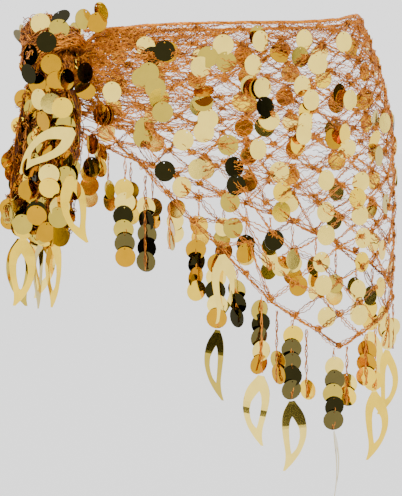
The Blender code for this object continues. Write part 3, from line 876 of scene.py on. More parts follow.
NET_COINS = (
    NetCoin(95, 144, -0.6, 2.6, AMBER, -25), NetCoin(94, 167, -0.88, 2.8, KHAKI),
    NetCoin(104, 115, -0.8, 3.4, GOLD, 35), NetCoin(108, 115, -0.7, 1.6, AMBER),
    NetCoin(114, 92, -0.92, 3.0, PALE), NetCoin(127, 36, -0.9, -4.5, KHAKI, 0, -8),
    NetCoin(108, 43, -0.9, -4.5, AMBER, 10, 8), NetCoin(146, 47, -0.95, 1.0, PALE, 10),
    NetCoin(166, 51, 1.0, 3.6, DARK), NetCoin(152, 57, -0.9, 0.6, DARK, 30),
    NetCoin(169, 52, 1.0, 1.8, AMBER), NetCoin(151, 73, 1.0, 4.6, KHAKI),
    NetCoin(143, 78, -0.98, 2.4, KHAKI, 10), NetCoin(157, 88, 1.0, 3.4, KHAKI, -6),
    NetCoin(160, 99, 0.98, 1.8, GOLD, -20), NetCoin(164, 112, 1.0, 3.6, KHAKI, 4),
    NetCoin(145, 128, 0.95, 1.2, KHAKI), NetCoin(143, 137, 0.92, 0.8, KHAKI),
    NetCoin(184, 140, 1.0, 3.2, PALE, -25), NetCoin(166, 171, 1.0, 3.2, DARK, 6),
    NetCoin(198, 169, 0.88, 3.2, PALE, 10), NetCoin(182, 187, 0.9, 0.8, PALE),
    NetCoin(223, 45, 1.0, 4.6, PALE, 8), NetCoin(208, 57, 1.0, 3.6, KHAKI, -25),
    NetCoin(226, 62, 0.98, 1.4, KHAKI, 10), NetCoin(201, 67, 0.98, 2.2, PALE, 25),
    NetCoin(204, 91, 1.0, 4.6, AMBER, 6, -58), NetCoin(203, 102, 1.0, 3.4, KHAKI, 0, -30),
    NetCoin(200, 106, 0.98, 1.4, PALE), NetCoin(208, 119, 1.0, 3.8, PALE, -8),
    NetCoin(204, 132, 1.0, 2.2, PALE, 10), NetCoin(228, 145, 1.0, 0.8, KHAKI),
    NetCoin(259, 41, 0.78, 3.2, PALE, -12), NetCoin(257, 36, 0.78, 1.8, KHAKI),
    NetCoin(252, 65, 0.82, 3.0, PALE, -20), NetCoin(249, 86, 0.84, 1.4, PALE),
    NetCoin(261, 88, 0.84, 4.0, PALE), NetCoin(257, 89, 0.84, 2.6, AMBER),
    NetCoin(264, 107, 0.80, 3.0, DARK, 30, -10), NetCoin(269, 120, 0.95, 1.8, PALE, 30, -20),
    NetCoin(264, 127, 0.95, 1.2, PALE, 0, -20), NetCoin(257, 149, 0.82, 3.2, PALE, -4),
    NetCoin(279, 54, 0.9, 0.4, AMBER, 0, -30), NetCoin(234, 167, 0.92, 1.4, DARK, -35, -8),
    NetCoin(236, 185, 0.92, 0.9, DARK, -10), NetCoin(230, 202, 0.95, 0.9, KHAKI),
    NetCoin(233, 228, 0.95, 0.9, KHAKI), NetCoin(302, 40, 0.80, 3.0, PALE, -8),
    NetCoin(300, 57, 0.85, 0.6, KHAKI), NetCoin(315, 64, 0.96, 3.4, PALE, 10),
    NetCoin(300, 86, 0.82, 3.2, PALE), NetCoin(308, 100, 0.80, 5.0, PALE, 6),
    NetCoin(304, 112, 0.74, 2.4, GOLD, 6), NetCoin(303, 123, 0.72, 3.2, PALE, 6),
    NetCoin(301, 134, 0.76, 4.2, PALE, 10), NetCoin(297, 144, 0.74, 2.0, GOLD, 10),
    NetCoin(279, 172, 0.95, 0.8, PALE), NetCoin(282, 192, 0.9, 0.8, GOLD),
    NetCoin(281, 212, 0.88, 0.9, GOLD), NetCoin(274, 240, 0.95, 0.9, DARK, 8),
    NetCoin(245, 253, 0.92, 1.2, AMBER, 30, 14), NetCoin(291, 259, 0.68, 3.0, PALE, -16),
    NetCoin(281, 266, 0.9, 0.9, PALE), NetCoin(298, 286, 0.88, 0.9, AMBER, -20, 8),
    NetCoin(341, 42, 0.80, 3.0, PALE, 4), NetCoin(338, 94, 0.66, 2.0, AMBER, -30),
    NetCoin(347, 100, 0.70, 3.4, PALE, -6), NetCoin(332, 139, 0.86, 2.6, AMBER, 0, -12),
    NetCoin(341, 134, 0.55, 4.0, GOLD, -20), NetCoin(345, 149, 0.85, 2.6, PALE, -10, 16),
    NetCoin(324, 180, 0.80, 3.0, PALE, -4), NetCoin(360, 182, 0.85, 1.0, PALE, -10, 8),
    NetCoin(356, 198, 0.85, 1.8, GOLD), NetCoin(325, 212, 0.85, 0.9, PALE),
    NetCoin(324, 235, 0.88, 3.2, PALE, -5), NetCoin(321, 262, 0.85, 0.9, PALE),
    NetCoin(321, 285, 0.86, 3.4, PALE, -4), NetCoin(326, 317, 0.9, 1.0, PALE, 15),
    NetCoin(359, 215, 0.85, 1.0, PALE, -20), NetCoin(362, 238, 0.80, 1.2, PALE, 10),
    NetCoin(361, 262, 0.72, 1.2, GOLD, 5), NetCoin(357, 290, 0.80, 1.2, PALE),
    NetCoin(357, 315, 0.82, 3.0, PALE), NetCoin(381, 123, 0.62, 3.4, PALE, -8),
    NetCoin(374, 120, 0.4, 1.8, KHAKI, -25), NetCoin(372, 140, 0.6, 2.6, GOLD, 10, 20),
    NetCoin(376, 156, 0.45, 2.6, KHAKI, -14), NetCoin(379, 287, 0.5, 1.6, GOLD, 20),
    NetCoin(381, 250, 0.4, 1.2, GOLD), NetCoin(384, 204, 0.4, 1.8, KHAKI, -10),
)

# Crescents that lie on the fringe and on the front tail, placed by their thread holes.
HEM_CRESCENTS = ((LaidCoin(6, -136, -231, PALE, 30, 9, 8), LEFT),)
TAIL_CRESCENTS = (
    (LaidCoin(-135, -119, -114, PALE, -6, 4, -60), RIGHT),
    (LaidCoin(-139, -118, -158, GOLD, 30, 2, 10), RIGHT),
)
# From this far off the net, in millimetres, a coin lies over the threads. One that is turned is moved out by
# up to the clearance, so that it clears them.
OVER_THREADS = 2
TURNED_CLEARANCE = 3
# How far a crescent's middle stands proud, laid on the cloth and hanging free.
LAID_CURL = 2.0 * MM
HANGING_CURL = 4.0 * MM


@dataclass
class Film:
    """Gathers hanging coins and crescents into one mesh."""

    points: list[np.ndarray] = field(default_factory=list)
    faces: list = field(default_factory=list)
    tones: list[np.ndarray] = field(default_factory=list)
    count: int = 0

    def hang(
        self, hook: np.ndarray, out: np.ndarray, yaw: float = 0.0, pitch: float = 0.0, roll: float = 0.0,
        piece: FlatPiece = COIN, tone: float | None = None, mirror: bool = False, curl: float = 0.0,
        down: np.ndarray = -UP, centred: bool = False,
    ) -> None:
        """Hangs one piece.

        Args:
            hook: where its thread hole is.
            out: the way that it faces before it is turned.
            yaw: its turn about its thread, in degrees.
            pitch: how far its lower end swings out, in degrees.
            roll: how far it leans to the side, in degrees.
            piece: its shape.
            tone: its film's tone, or None for one at random.
            mirror: whether its shape is flipped left for right.
            curl: how far it is bent.
            down: the way that it hangs before it is turned.
            centred: whether the hook given is a coin's middle instead.
        """
        facing = turned(unit(out - down * float(np.dot(out, down))), -down, yaw)
        across = np.cross(facing, down)
        lean = turned(down, facing, roll)
        across = turned(across, facing, roll)
        lean = turned(lean, across, pitch)
        hook = hook - lean * (COIN_HOOK if centred else 0.0)
        points, faces = piece.placed(hook, across, lean, curl)
        if mirror:
            middle = points - hook
            points = points - 2 * np.outer(middle @ across, across)
            faces = [face[::-1] for face in faces]
        self.points.append(points)
        self.faces += [[c + self.count for c in face] for face in faces]
        self.tones.append(np.full(len(points), RANDOM.random() if tone is None else float(tone)))
        self.count += len(points)

    def lay(self, coins: Iterable[LaidCoin]) -> None:
        """Lays coins that face the front.

        Args:
            coins: the coins, with places of their own.
        """
        for coin in coins:
            self.hang(
                np.array((coin.x, coin.y, coin.z)) * MM, FRONT, coin.yaw, coin.pitch, coin.roll,
                tone=coin.tone, centred=True,
            )

    def scatter(self, coins: Iterable[NetCoin]) -> None:
        """Lays coins on the hips where the camera sees them.

        Args:
            coins: the coins.
        """
        for coin in coins:
            angle, height = coin.place()
            out = HIPS.axes(angle, height)[1]
            facing = math.copysign(math.acos(abs(coin.width)), coin.width)
            turn = facing - math.atan2(out[0], -out[1])
            if coin.stand_off > OVER_THREADS:
                stand = coin.stand_off + TURNED_CLEARANCE * abs(math.sin(turn))
            else:
                stand = coin.stand_off
            self.hang(
                HIPS.point(angle, height, stand * MM), out, math.degrees(turn), coin.pitch, coin.roll,
                tone=coin.tone, centred=True,
            )

    def hook(self, crescents: Iterable[tuple[LaidCoin, Tip]]) -> None:
        """Hangs crescents that face the front.

        Args:
            crescents: the places of their thread holes, with the side of the tip.
        """
        for place, tip in crescents:
            self.hang(
                np.array((place.x, place.y, place.z)) * MM, FRONT, place.yaw, place.pitch, place.roll,
                CRESCENT_PIECE, place.tone, tip is RIGHT, LAID_CURL,
            )

    def press(self, name: str) -> bpy.types.Object:
        """Makes the object under the name given."""
        points, tones = np.concatenate(self.points), np.concatenate(self.tones)
        return mesh_object(name, points, self.faces, FILM, tones, smooth=False)


@dataclass
class Net:
    """The knotted net, in a front and a back panel, with the coins that hang on it.

    The knots stray by their slack, along and up. A knot's size has a random part on top of its least size, in
    millimetres. Of the coins at random, a share is doubled and a share lies sunk among the threads, and they
    stand off the net by the millimetres given.
    """

    front_thread: float = 0.46 * MM
    back_thread: float = 0.485 * MM
    stand_off: float = 0.9 * MM
    slack: tuple[float, float] = (1.9 * MM, 1.7 * MM)
    knot_size: float = 2.8
    knot_extra: float = 1.6
    knot_loops: int = 6
    bundle_threads: int = 2
    bundle_spread: float = 0.75 * MM
    hem_threads: int = 4
    hem_spread: float = 0.5 * MM
    hem_drop: float = 2.2 * MM
    doubled: float = 0.22
    sunk: float = 0.22
    sunk_stand: tuple[float, float] = (0.0, 1.2)
    free_stand: tuple[float, float] = (2.4, 4.0)
    places: dict[tuple[int, int], np.ndarray] = field(default_factory=dict)

    def __post_init__(self) -> None:
        """Places the knots."""
        for column in range(-FRONT_COLUMNS, BACK_COLUMNS + 1):
            for row in NET.rows(column):
                height = NET.height(column, row)
                angle = NET.angle(column)
                loose = 0.0 if row == 0 or row == NET.hem_row(column) else 1.0
                along, out = HIPS.axes(angle, height)
                shift = RANDOM.normal(0, 1, 2) * self.slack * loose
                place = HIPS.point(angle, height + shift[1], self.stand_off)
                self.places[column, row] = place + along * shift[0]

    def panel(self, name: str, node: str, first: int, last: int) -> bpy.types.Object:
        """Knots the part of the net between two columns.

        Args:
            name: the piece's name.
            node: the part's node that it replaces.
            first: its first column.
            last: its last column.

        Returns:
            The piece.
        """
        yarn = Yarn(self.front_thread if first < 0 else self.back_thread, 3)
        for (column, row), place in self.places.items():
            if not first <= column <= last:
                continue
            along, out = HIPS.axes(NET.angle(column), float(place[2]))
            size = (self.knot_size + RANDOM.uniform(0, self.knot_extra)) * MM
            yarn.tangle(place, along, out, size, self.knot_loops)
            for step in (-1, 1):
                far = self.places.get((column + 1, row + step))
                if far is not None:
                    self.bar(yarn, place, far, out)
        self.hem(yarn, first, last)
        return declare(yarn.spin(name), [node])

    def bar(self, yarn: Yarn, start: np.ndarray, end: np.ndarray, out: np.ndarray) -> None:
        """Ties one strand of the net: two loose bundles of threads that part between its knots.

        Args:
            yarn: the yarn that they are added to.
            start: one knot.
            end: the other knot.
            out: unit vector out from the hips.
        """
        aside = unit(np.cross(end - start, out))
        gap = abs(RANDOM.normal(0.9, 0.7)) * MM
        for side in (-1, 1):
            bow = np.outer(np.sin(math.pi * np.linspace(0, 1, 15)), aside * side * gap)
            for _ in range(self.bundle_threads):
                spread = RANDOM.normal(0, self.bundle_spread, (2, 3))
                yarn.strand(start + spread[0], end + spread[1], out, 0.9 * MM * RANDOM.random(), 1.2 * MM)
                yarn.lines[-1] += bow

    def hem(self, yarn: Yarn, first: int, last: int) -> None:
        """Adds the chain of threads along the hem.

        Args:
            yarn: the yarn that they are added to.
            first: the first column that it passes.
            last: the last column that it passes.
        """
        for column in range(first, last + (last < BACK_COLUMNS)):
            ends = []
            for at in (column, column + 1):
                ends.append(HIPS.point(NET.angle(at), NET.hem(at) - self.hem_drop, self.stand_off))
            out = HIPS.axes(NET.angle(column), float(ends[0][2]))[1]
            for _ in range(self.hem_threads):
                spread = RANDOM.normal(0, self.hem_spread, (2, 3))
                yarn.strand(ends[0] + spread[0], ends[1] + spread[1], out, 0.6 * MM, 0.9 * MM, 10)

    def coins(
        self, name: str, nodes: list[str], first: int, last: int, coins: Iterable[NetCoin] = ()
    ) -> bpy.types.Object:
        """Hangs coins on the net.

        Args:
            name: the piece's name.
            nodes: the part's nodes that it replaces.
            first: the first column with a coin at each of its knots.
            last: the last such column.
            coins: coins with places of their own.

        Returns:
            The piece.
        """
        film = Film()
        film.scatter(coins)
        for (column, row), place in self.places.items():
            if not first <= column <= last or column % 2 == 0 or row >= NET.hem_row(column):
                continue
            along, out = HIPS.axes(NET.angle(column), float(place[2]))
            for number in range(2 if RANDOM.random() < self.doubled else 1):
                stands = self.sunk_stand if RANDOM.random() < self.sunk else self.free_stand
                stand = RANDOM.uniform(*stands) * MM
                side = along * RANDOM.normal(0, 2.2 * MM) * (1 + number)
                drop = (3.2 + 5 * number * RANDOM.random()) * MM
                hook = place + out * (stand + number * 1.4 * MM) + side - UP * drop
                film.hang(hook, out, RANDOM.normal(0, 9), RANDOM.normal(2, 6), RANDOM.normal(0, 8))
        return declare(film.press(name), nodes)


@dataclass(frozen=True)
class Strays:
    """The loose threads that crowd the upper net and its end at the knot.

    Each reaches over some columns and has some points for each. Every second one lies nearer the first column,
    and more of them lie near the waist, both by a power of a random share. They go down the net by a share of
    its depth, and further over the columns at the knot. Their tilt and lift are in millimetres.
    """

    name: str
    first: int
    last: int
    count: int
    deep: float = 0.52
    thread: float = 0.38 * MM
    reach: tuple[float, float] = (0.5, 2.0)
    column_power: float = 1.7
    depth_power: float = 1.5
    knot_columns: int = 5
    knot_deep: float = 0.4
    tilt: float = 3.5
    lift: float = 0.9
    lift_swing: float = 0.7
    kink: float = 0.9 * MM
    sag: float = 2.2 * MM
    wander: float = 1.2 * MM
    points: int = 9

    def build(self) -> bpy.types.Object:
        """Lays the threads.

        Returns:
            The piece.
        """
        yarn = Yarn(self.thread, 3)
        for number in range(self.count):
            along = RANDOM.random() ** (self.column_power if number % 2 else 1.0)
            column = self.first + (self.last - self.first) * along
            reach = RANDOM.uniform(*self.reach)
            near_knot = max(0.0, 1 - abs(column - self.first) / self.knot_columns) if self.first < 0 else 0.0
            depth = RANDOM.random() ** self.depth_power * (self.deep + self.knot_deep * near_knot)
            top = NET.waist(NET.angle(column))
            yarn.add(self.line(column, top + depth * (NET.hem(column) - top), reach))
        return declare(yarn.spin(self.name))

    def line(self, column: float, level: float, reach: float) -> list[np.ndarray]:
        """Lays out one thread.

        Args:
            column: the column at its middle.
            level: the height of its middle.
            reach: how many columns it reaches over.

        Returns:
            Its points.
        """
        tilt = RANDOM.normal(0, self.tilt) * MM
        steps = 8 + int(reach * self.points)
        phase = RANDOM.uniform(0, math.tau, 3)
        line = []
        for step in range(steps + 1):
            share = step / steps
            at = min(max(column + (share - 0.5) * reach, self.first), self.last)
            lift = (self.lift + self.lift_swing * math.sin(7 * share + phase[0])) * MM
            kink = self.kink * math.sin(math.tau * reach * 3.1 * share + phase[1])
            sag = self.sag * math.sin(math.pi * share) + self.wander * math.sin(5 * share + phase[2])
            height = min(level + tilt * (share - 0.5) + kink - sag, NET.waist(NET.angle(at)))
            line.append(HIPS.point(NET.angle(at), height, lift))
        return line


class FringeString(NamedTuple):
    """One fringe string, in millimetres and degrees.

    Its column is its place along the hem, or over a tail's end from -1 at the left to 1 at the right. Its
    thread is bare above the first coin, and the coins and the crescent turn about it. Its coins have tones
    from the top one down, and its thread covers them or runs behind.
    """

    column: float
    thread: float
    coins: int
    coin_turn: float
    crescent: Tip
    turn: float
    tones: tuple[float, ...] = ()
    covered: bool = True


FRONT_STRINGS = (
    FringeString(-10.0, 20, 2, 10, NONE, 0),
    FringeString(-8.8, 22, 6, -12, NONE, 0, (GOLD, PALE, DARK, KHAKI, BRONZE, AMBER), False),
    FringeString(-7.9, 20, 5, 14, NONE, 0, (PALE, DARK, BRONZE, DARK, BRONZE)),
    FringeString(-6.9, 12, 2, 50, NONE, 0, (AMBER, KHAKI)),
    FringeString(-5.9, 8, 4, -30, NONE, 0, (AMBER, DARK, AMBER, GOLD), False),
    FringeString(-5.1, 3, 5, 6, RIGHT, 50, (AMBER, PALE, DARK, PALE, AMBER), False),
    FringeString(-4.4, 9, 3, 50, NONE, 0, (KHAKI, DARK, DARK), False),
    FringeString(-3.4, 3, 5, -15, RIGHT, 38, (KHAKI, DARK, BRONZE, PALE, AMBER)),
    FringeString(-2.7, 38, 2, 68, NONE, 0),
    FringeString(-2.1, 5, 5, 10, LEFT, -10, (GOLD, BRONZE, BRONZE, DARK, BRONZE), False),
    FringeString(-1.45, 48, 1, 60, NONE, 0),
    FringeString(-0.2, 8, 5, 20, RIGHT, -50, (PALE, BRONZE, KHAKI, DARK, BRONZE), False),
    FringeString(0.45, 26, 2, 68, NONE, 0),
    FringeString(1.5, 6, 3, 66, NONE, 0),
    FringeString(2.05, 43, 1, 30, LEFT, 22),
    FringeString(3.2, 3, 2, 12, RIGHT, -58),
    FringeString(4.0, 14, 2, 30, NONE, 0),
)
SIDE_STRINGS = (
    FringeString(6.0, 26, 2, -16, NONE, 0),
    FringeString(7.0, 18, 3, -12, LEFT, -24),
    FringeString(8.0, 20, 3, 30, NONE, 0),
)
BACK_STRING_KINDS = (FringeString(0, 20, 3, 24, NONE, 0), FringeString(0, 28, 2, -16, NONE, 0))
TAIL_FRONT_STRINGS = (
    FringeString(-0.9, 3, 0, 0, LEFT, -8),
    FringeString(-0.1, 4, 0, 0, LEFT, 44),
    FringeString(0.7, 2, 0, 0, LEFT, 30),
)
TAIL_BACK_STRINGS = (
    FringeString(-0.5, 14, 0, 0, RIGHT, -40),
    FringeString(0.5, 5, 0, 0, LEFT, -24),
)
# How far apart the coins of a string hang, what its last coin and its crescent's ring add to its length, and
# how far out its thread lies over the coins and behind them.
STACK_PITCH = 13.0 * MM
LAST_COIN = 18 * MM
CRESCENT_RING = 4 * MM
THREAD_OVER = 1.6 * MM
THREAD_BEHIND = -1.8 * MM


@dataclass
class Fringe:
    """Strings of yarn, coins and crescents that hang from an edge. Their yarn is a chain of small loops."""

    stand_off: float = 0.8 * MM
    loop_width: float = 0.75 * MM
    loop_length: float = 2.2 * MM
    loop_depth: float = 0.5 * MM
    loop_depth_length: float = 1.9 * MM
    chain_drift: float = 0.8 * MM
    chain_step: float = 1.6 * MM
    yarn: Yarn = field(default_factory=lambda: Yarn(0.45 * MM))
    film: Film = field(default_factory=Film)

    def string(self, foot: np.ndarray, out: np.ndarray, kind: FringeString) -> None:
        """Hangs one string.

        Args:
            foot: where it leaves the edge.
            out: the way that its pieces face before they turn.
            kind: what hangs on it.
        """
        thread = kind.thread * MM
        facing = turned(out, UP, -kind.coin_turn)
        last = thread + max(kind.coins - 1, 0) * STACK_PITCH + (LAST_COIN if kind.coins else 0)
        self.chain(foot, last, facing, THREAD_OVER if kind.covered else THREAD_BEHIND)
        for number in range(kind.coins):
            drop = thread + 2 * MM + number * STACK_PITCH
            hook = foot - UP * drop + facing * RANDOM.normal(0.4, 0.3) * MM
            tone = kind.tones[number] if number < len(kind.tones) else None
            self.film.hang(
                hook, facing, RANDOM.normal(0, 9), 8 + RANDOM.normal(0, 3), RANDOM.normal(0, 5), tone=tone
            )
        if kind.crescent is not NONE:
            self.film.hang(
                foot - UP * (last + CRESCENT_RING), turned(out, UP, -kind.turn), 0,
                RANDOM.normal(0, 2), RANDOM.normal(0, 3), CRESCENT_PIECE,
                RANDOM.uniform(PALE, KHAKI), kind.crescent is RIGHT, HANGING_CURL,
            )

    def chain(self, foot: np.ndarray, length: float, out: np.ndarray, lift: float) -> None:
        """Makes the string's own yarn.

        Args:
            foot: where it leaves the edge.
            length: how long it is.
            out: unit vector out from its coins.
            lift: how far out it lies.
        """
        steps = max(int(length / self.chain_step), 4)
        share = np.linspace(0, 1, steps + 1)
        aside = np.cross(UP, out)
        for phase in (0, math.pi / 2, math.pi):
            swing = self.loop_width * np.sin(share * length / self.loop_length + phase)
            depth = self.loop_depth * np.cos(share * length / self.loop_depth_length + phase)
            drift = self.chain_drift * np.sin(share * 5 + phase + foot[0] * 90)
            line = foot - np.outer(share * length, UP)
            self.yarn.add(line + np.outer(swing + drift, aside) + np.outer(lift + depth, out))

    def along_hem(self, side: str, strings: Iterable[FringeString]) -> None:
        """Hangs one side's strings from the hem.

        Args:
            side: front or back.
            strings: what hangs there.
        """
        for string in strings:
            angle, foot = NET.angle(string.column), NET.hem_cord(string.column)
            self.string(HIPS.point(angle, foot, self.stand_off), HIPS.axes(angle, foot)[1], string)
        if side == "front":
            self.film.hook(HEM_CRESCENTS)
        declare(self.film.press(f"fringe_{side}_film"), [f"fringe_{side}"])
        declare(self.yarn.spin(f"fringe_{side}_yarn"))


@dataclass(frozen=True)
class WaistCord:
    """The cord of several threads that edges the top of the net, with its points for each of its columns."""

    radius: float = 0.55 * MM
    threads: int = 8
    reach: float = 1.25 * MM
    stand_off: float = 0.8 * MM
    points: int = 12
    run_on_points: int = 10
    lay: float = 0.42

    def build(self, side: str, first: int, last: int, into: Iterable[np.ndarray] = ()) -> None:
        """Makes one side's cord.

        Args:
            side: front or back.
            first: the first column that it passes.
            last: the last column that it passes.
            into: the places that it runs on to, past the last column.
        """
        yarn = Yarn(self.radius)
        angles = np.linspace(NET.angle(first), NET.angle(last), self.points * (last - first) + 1)
        for thread in range(self.threads):
            phase = thread * math.tau / self.threads
            line = []
            for step, angle in enumerate(angles):
                lap = phase + step * self.lay
                reach = self.reach * (0.75 + 0.35 * math.sin(step * 0.9 + thread * 2.1))
                height = NET.waist(angle) + reach * math.cos(lap)
                line.append(HIPS.point(angle, height, self.stand_off + reach * math.sin(lap)))
            for place in into:
                start = line[-1]
                shares = np.linspace(1 / self.run_on_points, 1, self.run_on_points)
                line.extend(start + (place - start) * share for share in shares)
            yarn.add(line)
        declare(yarn.spin(f"waist_cord_{side}_yarn"), [f"waist_cord_{side}"])


class CoreSection(NamedTuple):
    """One section of the knot's core, in millimetres along it from its middle."""

    along: float
    radius: float


CORE_SECTIONS = (
    CoreSection(-41, 6), CoreSection(-38, 14), CoreSection(-31, 21), CoreSection(-22, 21),
    CoreSection(-13, 15), CoreSection(0, 14.6), CoreSection(12, 14.6), CoreSection(20, 17.5),
    CoreSection(28, 17), CoreSection(35, 11), CoreSection(38, 5),
)


class KnotAxes(NamedTuple):
    """Unit vectors along the knot's core, across it, and out from the hip."""

    core: np.ndarray
    across: np.ndarray
    out: np.ndarray

    def spoke(self, turn: float) -> np.ndarray:
        """Unit vector away from the core, at a turn round it in radians."""
        return self.across * math.cos(turn) + self.out * math.sin(turn)


# How far behind the side knot's middle the net's threads end, in millimetres.
KNOT_DEPTH = 10
# Shares of one that scatter places evenly when they are added up, round and along.
TURN_STEP, LENGTH_STEP = 0.755, 0.618


@dataclass(frozen=True)
class SideKnot:
    """The knot at the wearer's right hip: a gathered core held by a turn of gathered net.

    Its filling is a share of its full thickness. Threads run along the core and the band, tangles lie on the
    skin, and the cords lie over the band. The ends of the threads, the tangles and the coins are places along
    the core in millimetres.
    """

    centre: np.ndarray = field(default_factory=lambda: np.array((-156, -75, -41)) * MM)
    angle: float = -60.0
    tilt: float = 48.0
    band_radius: float = 23.5 * MM
    band_width: float = 10 * MM
    band_depth: float = 8 * MM
    core_filling: float = 0.88
    band_filling: float = 0.86
    thread: float = 0.48 * MM
    core_threads: int = 170
    band_threads: int = 150
    tangles: int = 170
    cord: float = 0.85 * MM
    cords: int = 64
    cord_width: float = 1.2
    random_coins: int = 54
    band_reach: float = 15
    thread_ends: tuple[float, float] = (-45, 37)
    tangle_ends: tuple[float, float] = (-44, 35)
    coin_ends: tuple[float, float] = (-38, 36)

    def axes(self) -> KnotAxes:
        """Works out the knot's own directions.

        Returns:
            The directions.
        """
        along, out = HIPS.axes(self.angle, float(self.centre[2]))
        tilt = math.radians(self.tilt)
        core = along * math.cos(tilt) - UP * math.sin(tilt)
        return KnotAxes(core, unit(np.cross(out, core)), out)

    def core_radius(self, along: float) -> float:
        """The core's radius at a distance along it."""
        return between([s.along for s in CORE_SECTIONS], [s.radius for s in CORE_SECTIONS], along / MM) * MM

    def band_point(
        self, axes: KnotAxes, turn: float, roll: float, puff: float, width: float = 1.0
    ) -> np.ndarray:
        """A point of the band.

        Args:
            axes: the knot's directions.
            turn: its place along the band, in radians.
            roll: its place round the band's section, in radians.
            puff: how full the section is.
            width: how wide the section is, as a share of the band's width.

        Returns:
            The point.
        """
        return (
            self.centre
            + axes.spoke(turn) * (self.band_radius + self.band_depth * puff * math.cos(roll))
            + axes.core * self.band_width * width * puff * math.sin(roll)
        )

    def surface(self, axes: KnotAxes, along: float, turn: float) -> tuple[np.ndarray, np.ndarray]:
        """A point on the knot's skin.

        Args:
            axes: the knot's directions.
            along: its place along the core, in millimetres.
            turn: its place round the core, in radians.

        Returns:
            The point and the way that it faces.
        """
        spoke = axes.spoke(turn)
        swell = max(0.0, 1 - (along / self.band_reach) ** 2)
        reach = max(self.core_radius(along * MM), (self.band_radius + self.band_depth) * swell**0.35)
        return self.centre + axes.core * along * MM + spoke * reach, spoke

    def build(self) -> None:
        """Makes the filling, the threads over it and its coins."""
        axes = self.axes()
        self.filling(axes)
        yarn = Yarn(self.thread, 3)
        self.wind_core(yarn, axes)
        self.wind_band(yarn, axes)
        for _ in range(self.tangles):
            spot, spoke = self.surface(axes, RANDOM.uniform(*self.tangle_ends), RANDOM.uniform(0, math.tau))
            yarn.tangle(spot, unit(np.cross(spoke, UP)), spoke, RANDOM.uniform(2.8, 5.0) * MM, 1)
        declare(yarn.spin("knot_yarn", SHADED_GATHERED), ["knot_band"])
        self.loop_cords(axes)
        self.lay_coins(axes)

    def filling(self, axes: KnotAxes) -> None:
        """Makes the solid middle of the core and of the band, coloured dark as painted shade among the
        gathered threads.

        Args:
            axes: the knot's directions.
        """
        points, faces, rings = [], [], []
        for section in CORE_SECTIONS:
            middle = self.centre + axes.core * section.along * MM
            laps = np.arange(20) * math.tau / 20
            rings.append([middle + axes.spoke(lap) * section.radius * self.core_filling * MM for lap in laps])
        add_loft(points, faces, rings, closed=False)
        laps = np.arange(12) * math.tau / 12
        turns = np.arange(32) * math.tau / 32
        rings = [[self.band_point(axes, turn, lap, self.band_filling) for lap in laps] for turn in turns]
        add_loft(points, faces, rings, closed=True)
        declare(mesh_object("knot_filling", np.array(points), faces, PAINTED_SHADE_FILL), ["knot_core"])

    def wind_core(self, yarn: Yarn, axes: KnotAxes) -> None:
        """Adds the gathered threads that run along the core.

        Args:
            yarn: the yarn that they are added to.
            axes: the knot's directions.
        """
        places = np.linspace(*self.thread_ends, 30)
        for _ in range(self.core_threads):
            lap = RANDOM.uniform(0, math.tau)
            drift = RANDOM.normal(0, 0.5)
            phase = RANDOM.uniform(0, math.tau)
            line = []
            for step, along in enumerate(places):
                turn = lap + drift * step / len(places) + 0.09 * math.sin(step * 0.9 + phase)
                reach = self.core_radius(along * MM) * RANDOM.uniform(0.9, 1.12)
                line.append(self.centre + axes.core * along * MM + axes.spoke(turn) * reach)
            yarn.add(line)

    def wind_band(self, yarn: Yarn, axes: KnotAxes) -> None:
        """Adds the gathered threads that run along the band.

        Args:
            yarn: the yarn that they are added to.
            axes: the knot's directions.
        """
        for _ in range(self.band_threads):
            lap, phase, begin = (RANDOM.uniform(0, math.tau) for _ in range(3))
            line = []
            for share in np.linspace(0, 1, 40):
                turn = begin + math.tau * 0.9 * share
                roll = lap + 0.35 * math.sin(turn * 2 + phase)
                line.append(self.band_point(axes, turn, roll, RANDOM.uniform(0.80, 1.0)))
            yarn.add(line)

    def loop_cords(self, axes: KnotAxes) -> None:
        """Lays the kinked cords that loop out and back along the band.

        Args:
            axes: the knot's directions.
        """
        yarn = Yarn(self.cord)
        for _ in range(self.cords):
            lane = RANDOM.uniform(-1.7, 1.7)
            phase, begin = RANDOM.uniform(0, math.tau, 2)
            reach = RANDOM.uniform(0.7, 1.9)
            line = []
            for step, share in enumerate(np.linspace(0, 1, 48)):
                there = 0.5 - 0.5 * math.cos(math.tau * share)
                turn = begin + reach * there + 0.03 * math.sin(step * 1.7 + phase)
                roll = lane + 0.22 * math.cos(math.pi * share) + 0.07 * math.sin(step * 1.3 + phase)
                puff = 1.08 + 0.07 * math.sin(step * 0.5 + phase) + 0.16 * there**2
                line.append(self.band_point(axes, turn, roll, puff, self.cord_width))
            yarn.add(line)
        declare(yarn.spin("knot_cords"))

    def lay_coins(self, axes: KnotAxes) -> None:
        """Lays the coins that show in the knot, and coins at random on the rest of its skin.

        Args:
            axes: the knot's directions.
        """
        film = Film()
        film.lay(KNOT_COINS)
        for number in range(self.random_coins):
            first, last = self.coin_ends
            along = first + (last - first) * ((number * LENGTH_STEP) % 1)
            spot, spoke = self.surface(axes, along, math.pi * (-0.3 + 1.6 * ((number * TURN_STEP) % 1)))
            if spoke[1] < -0.2:
                continue
            facing = unit(spoke + RANDOM.normal(0, 0.28, 3))
            down = unit(np.cross(facing, RANDOM.normal(0, 1, 3)) - 0.6 * UP)
            down = unit(down - facing * float(np.dot(down, facing)))
            film.hang(
                spot + facing * RANDOM.uniform(0.2, 2.0) * MM, facing, down=down,
                tone=RANDOM.uniform(0.5, 1.0), centred=True,
            )
        declare(film.press("knot_coins"))


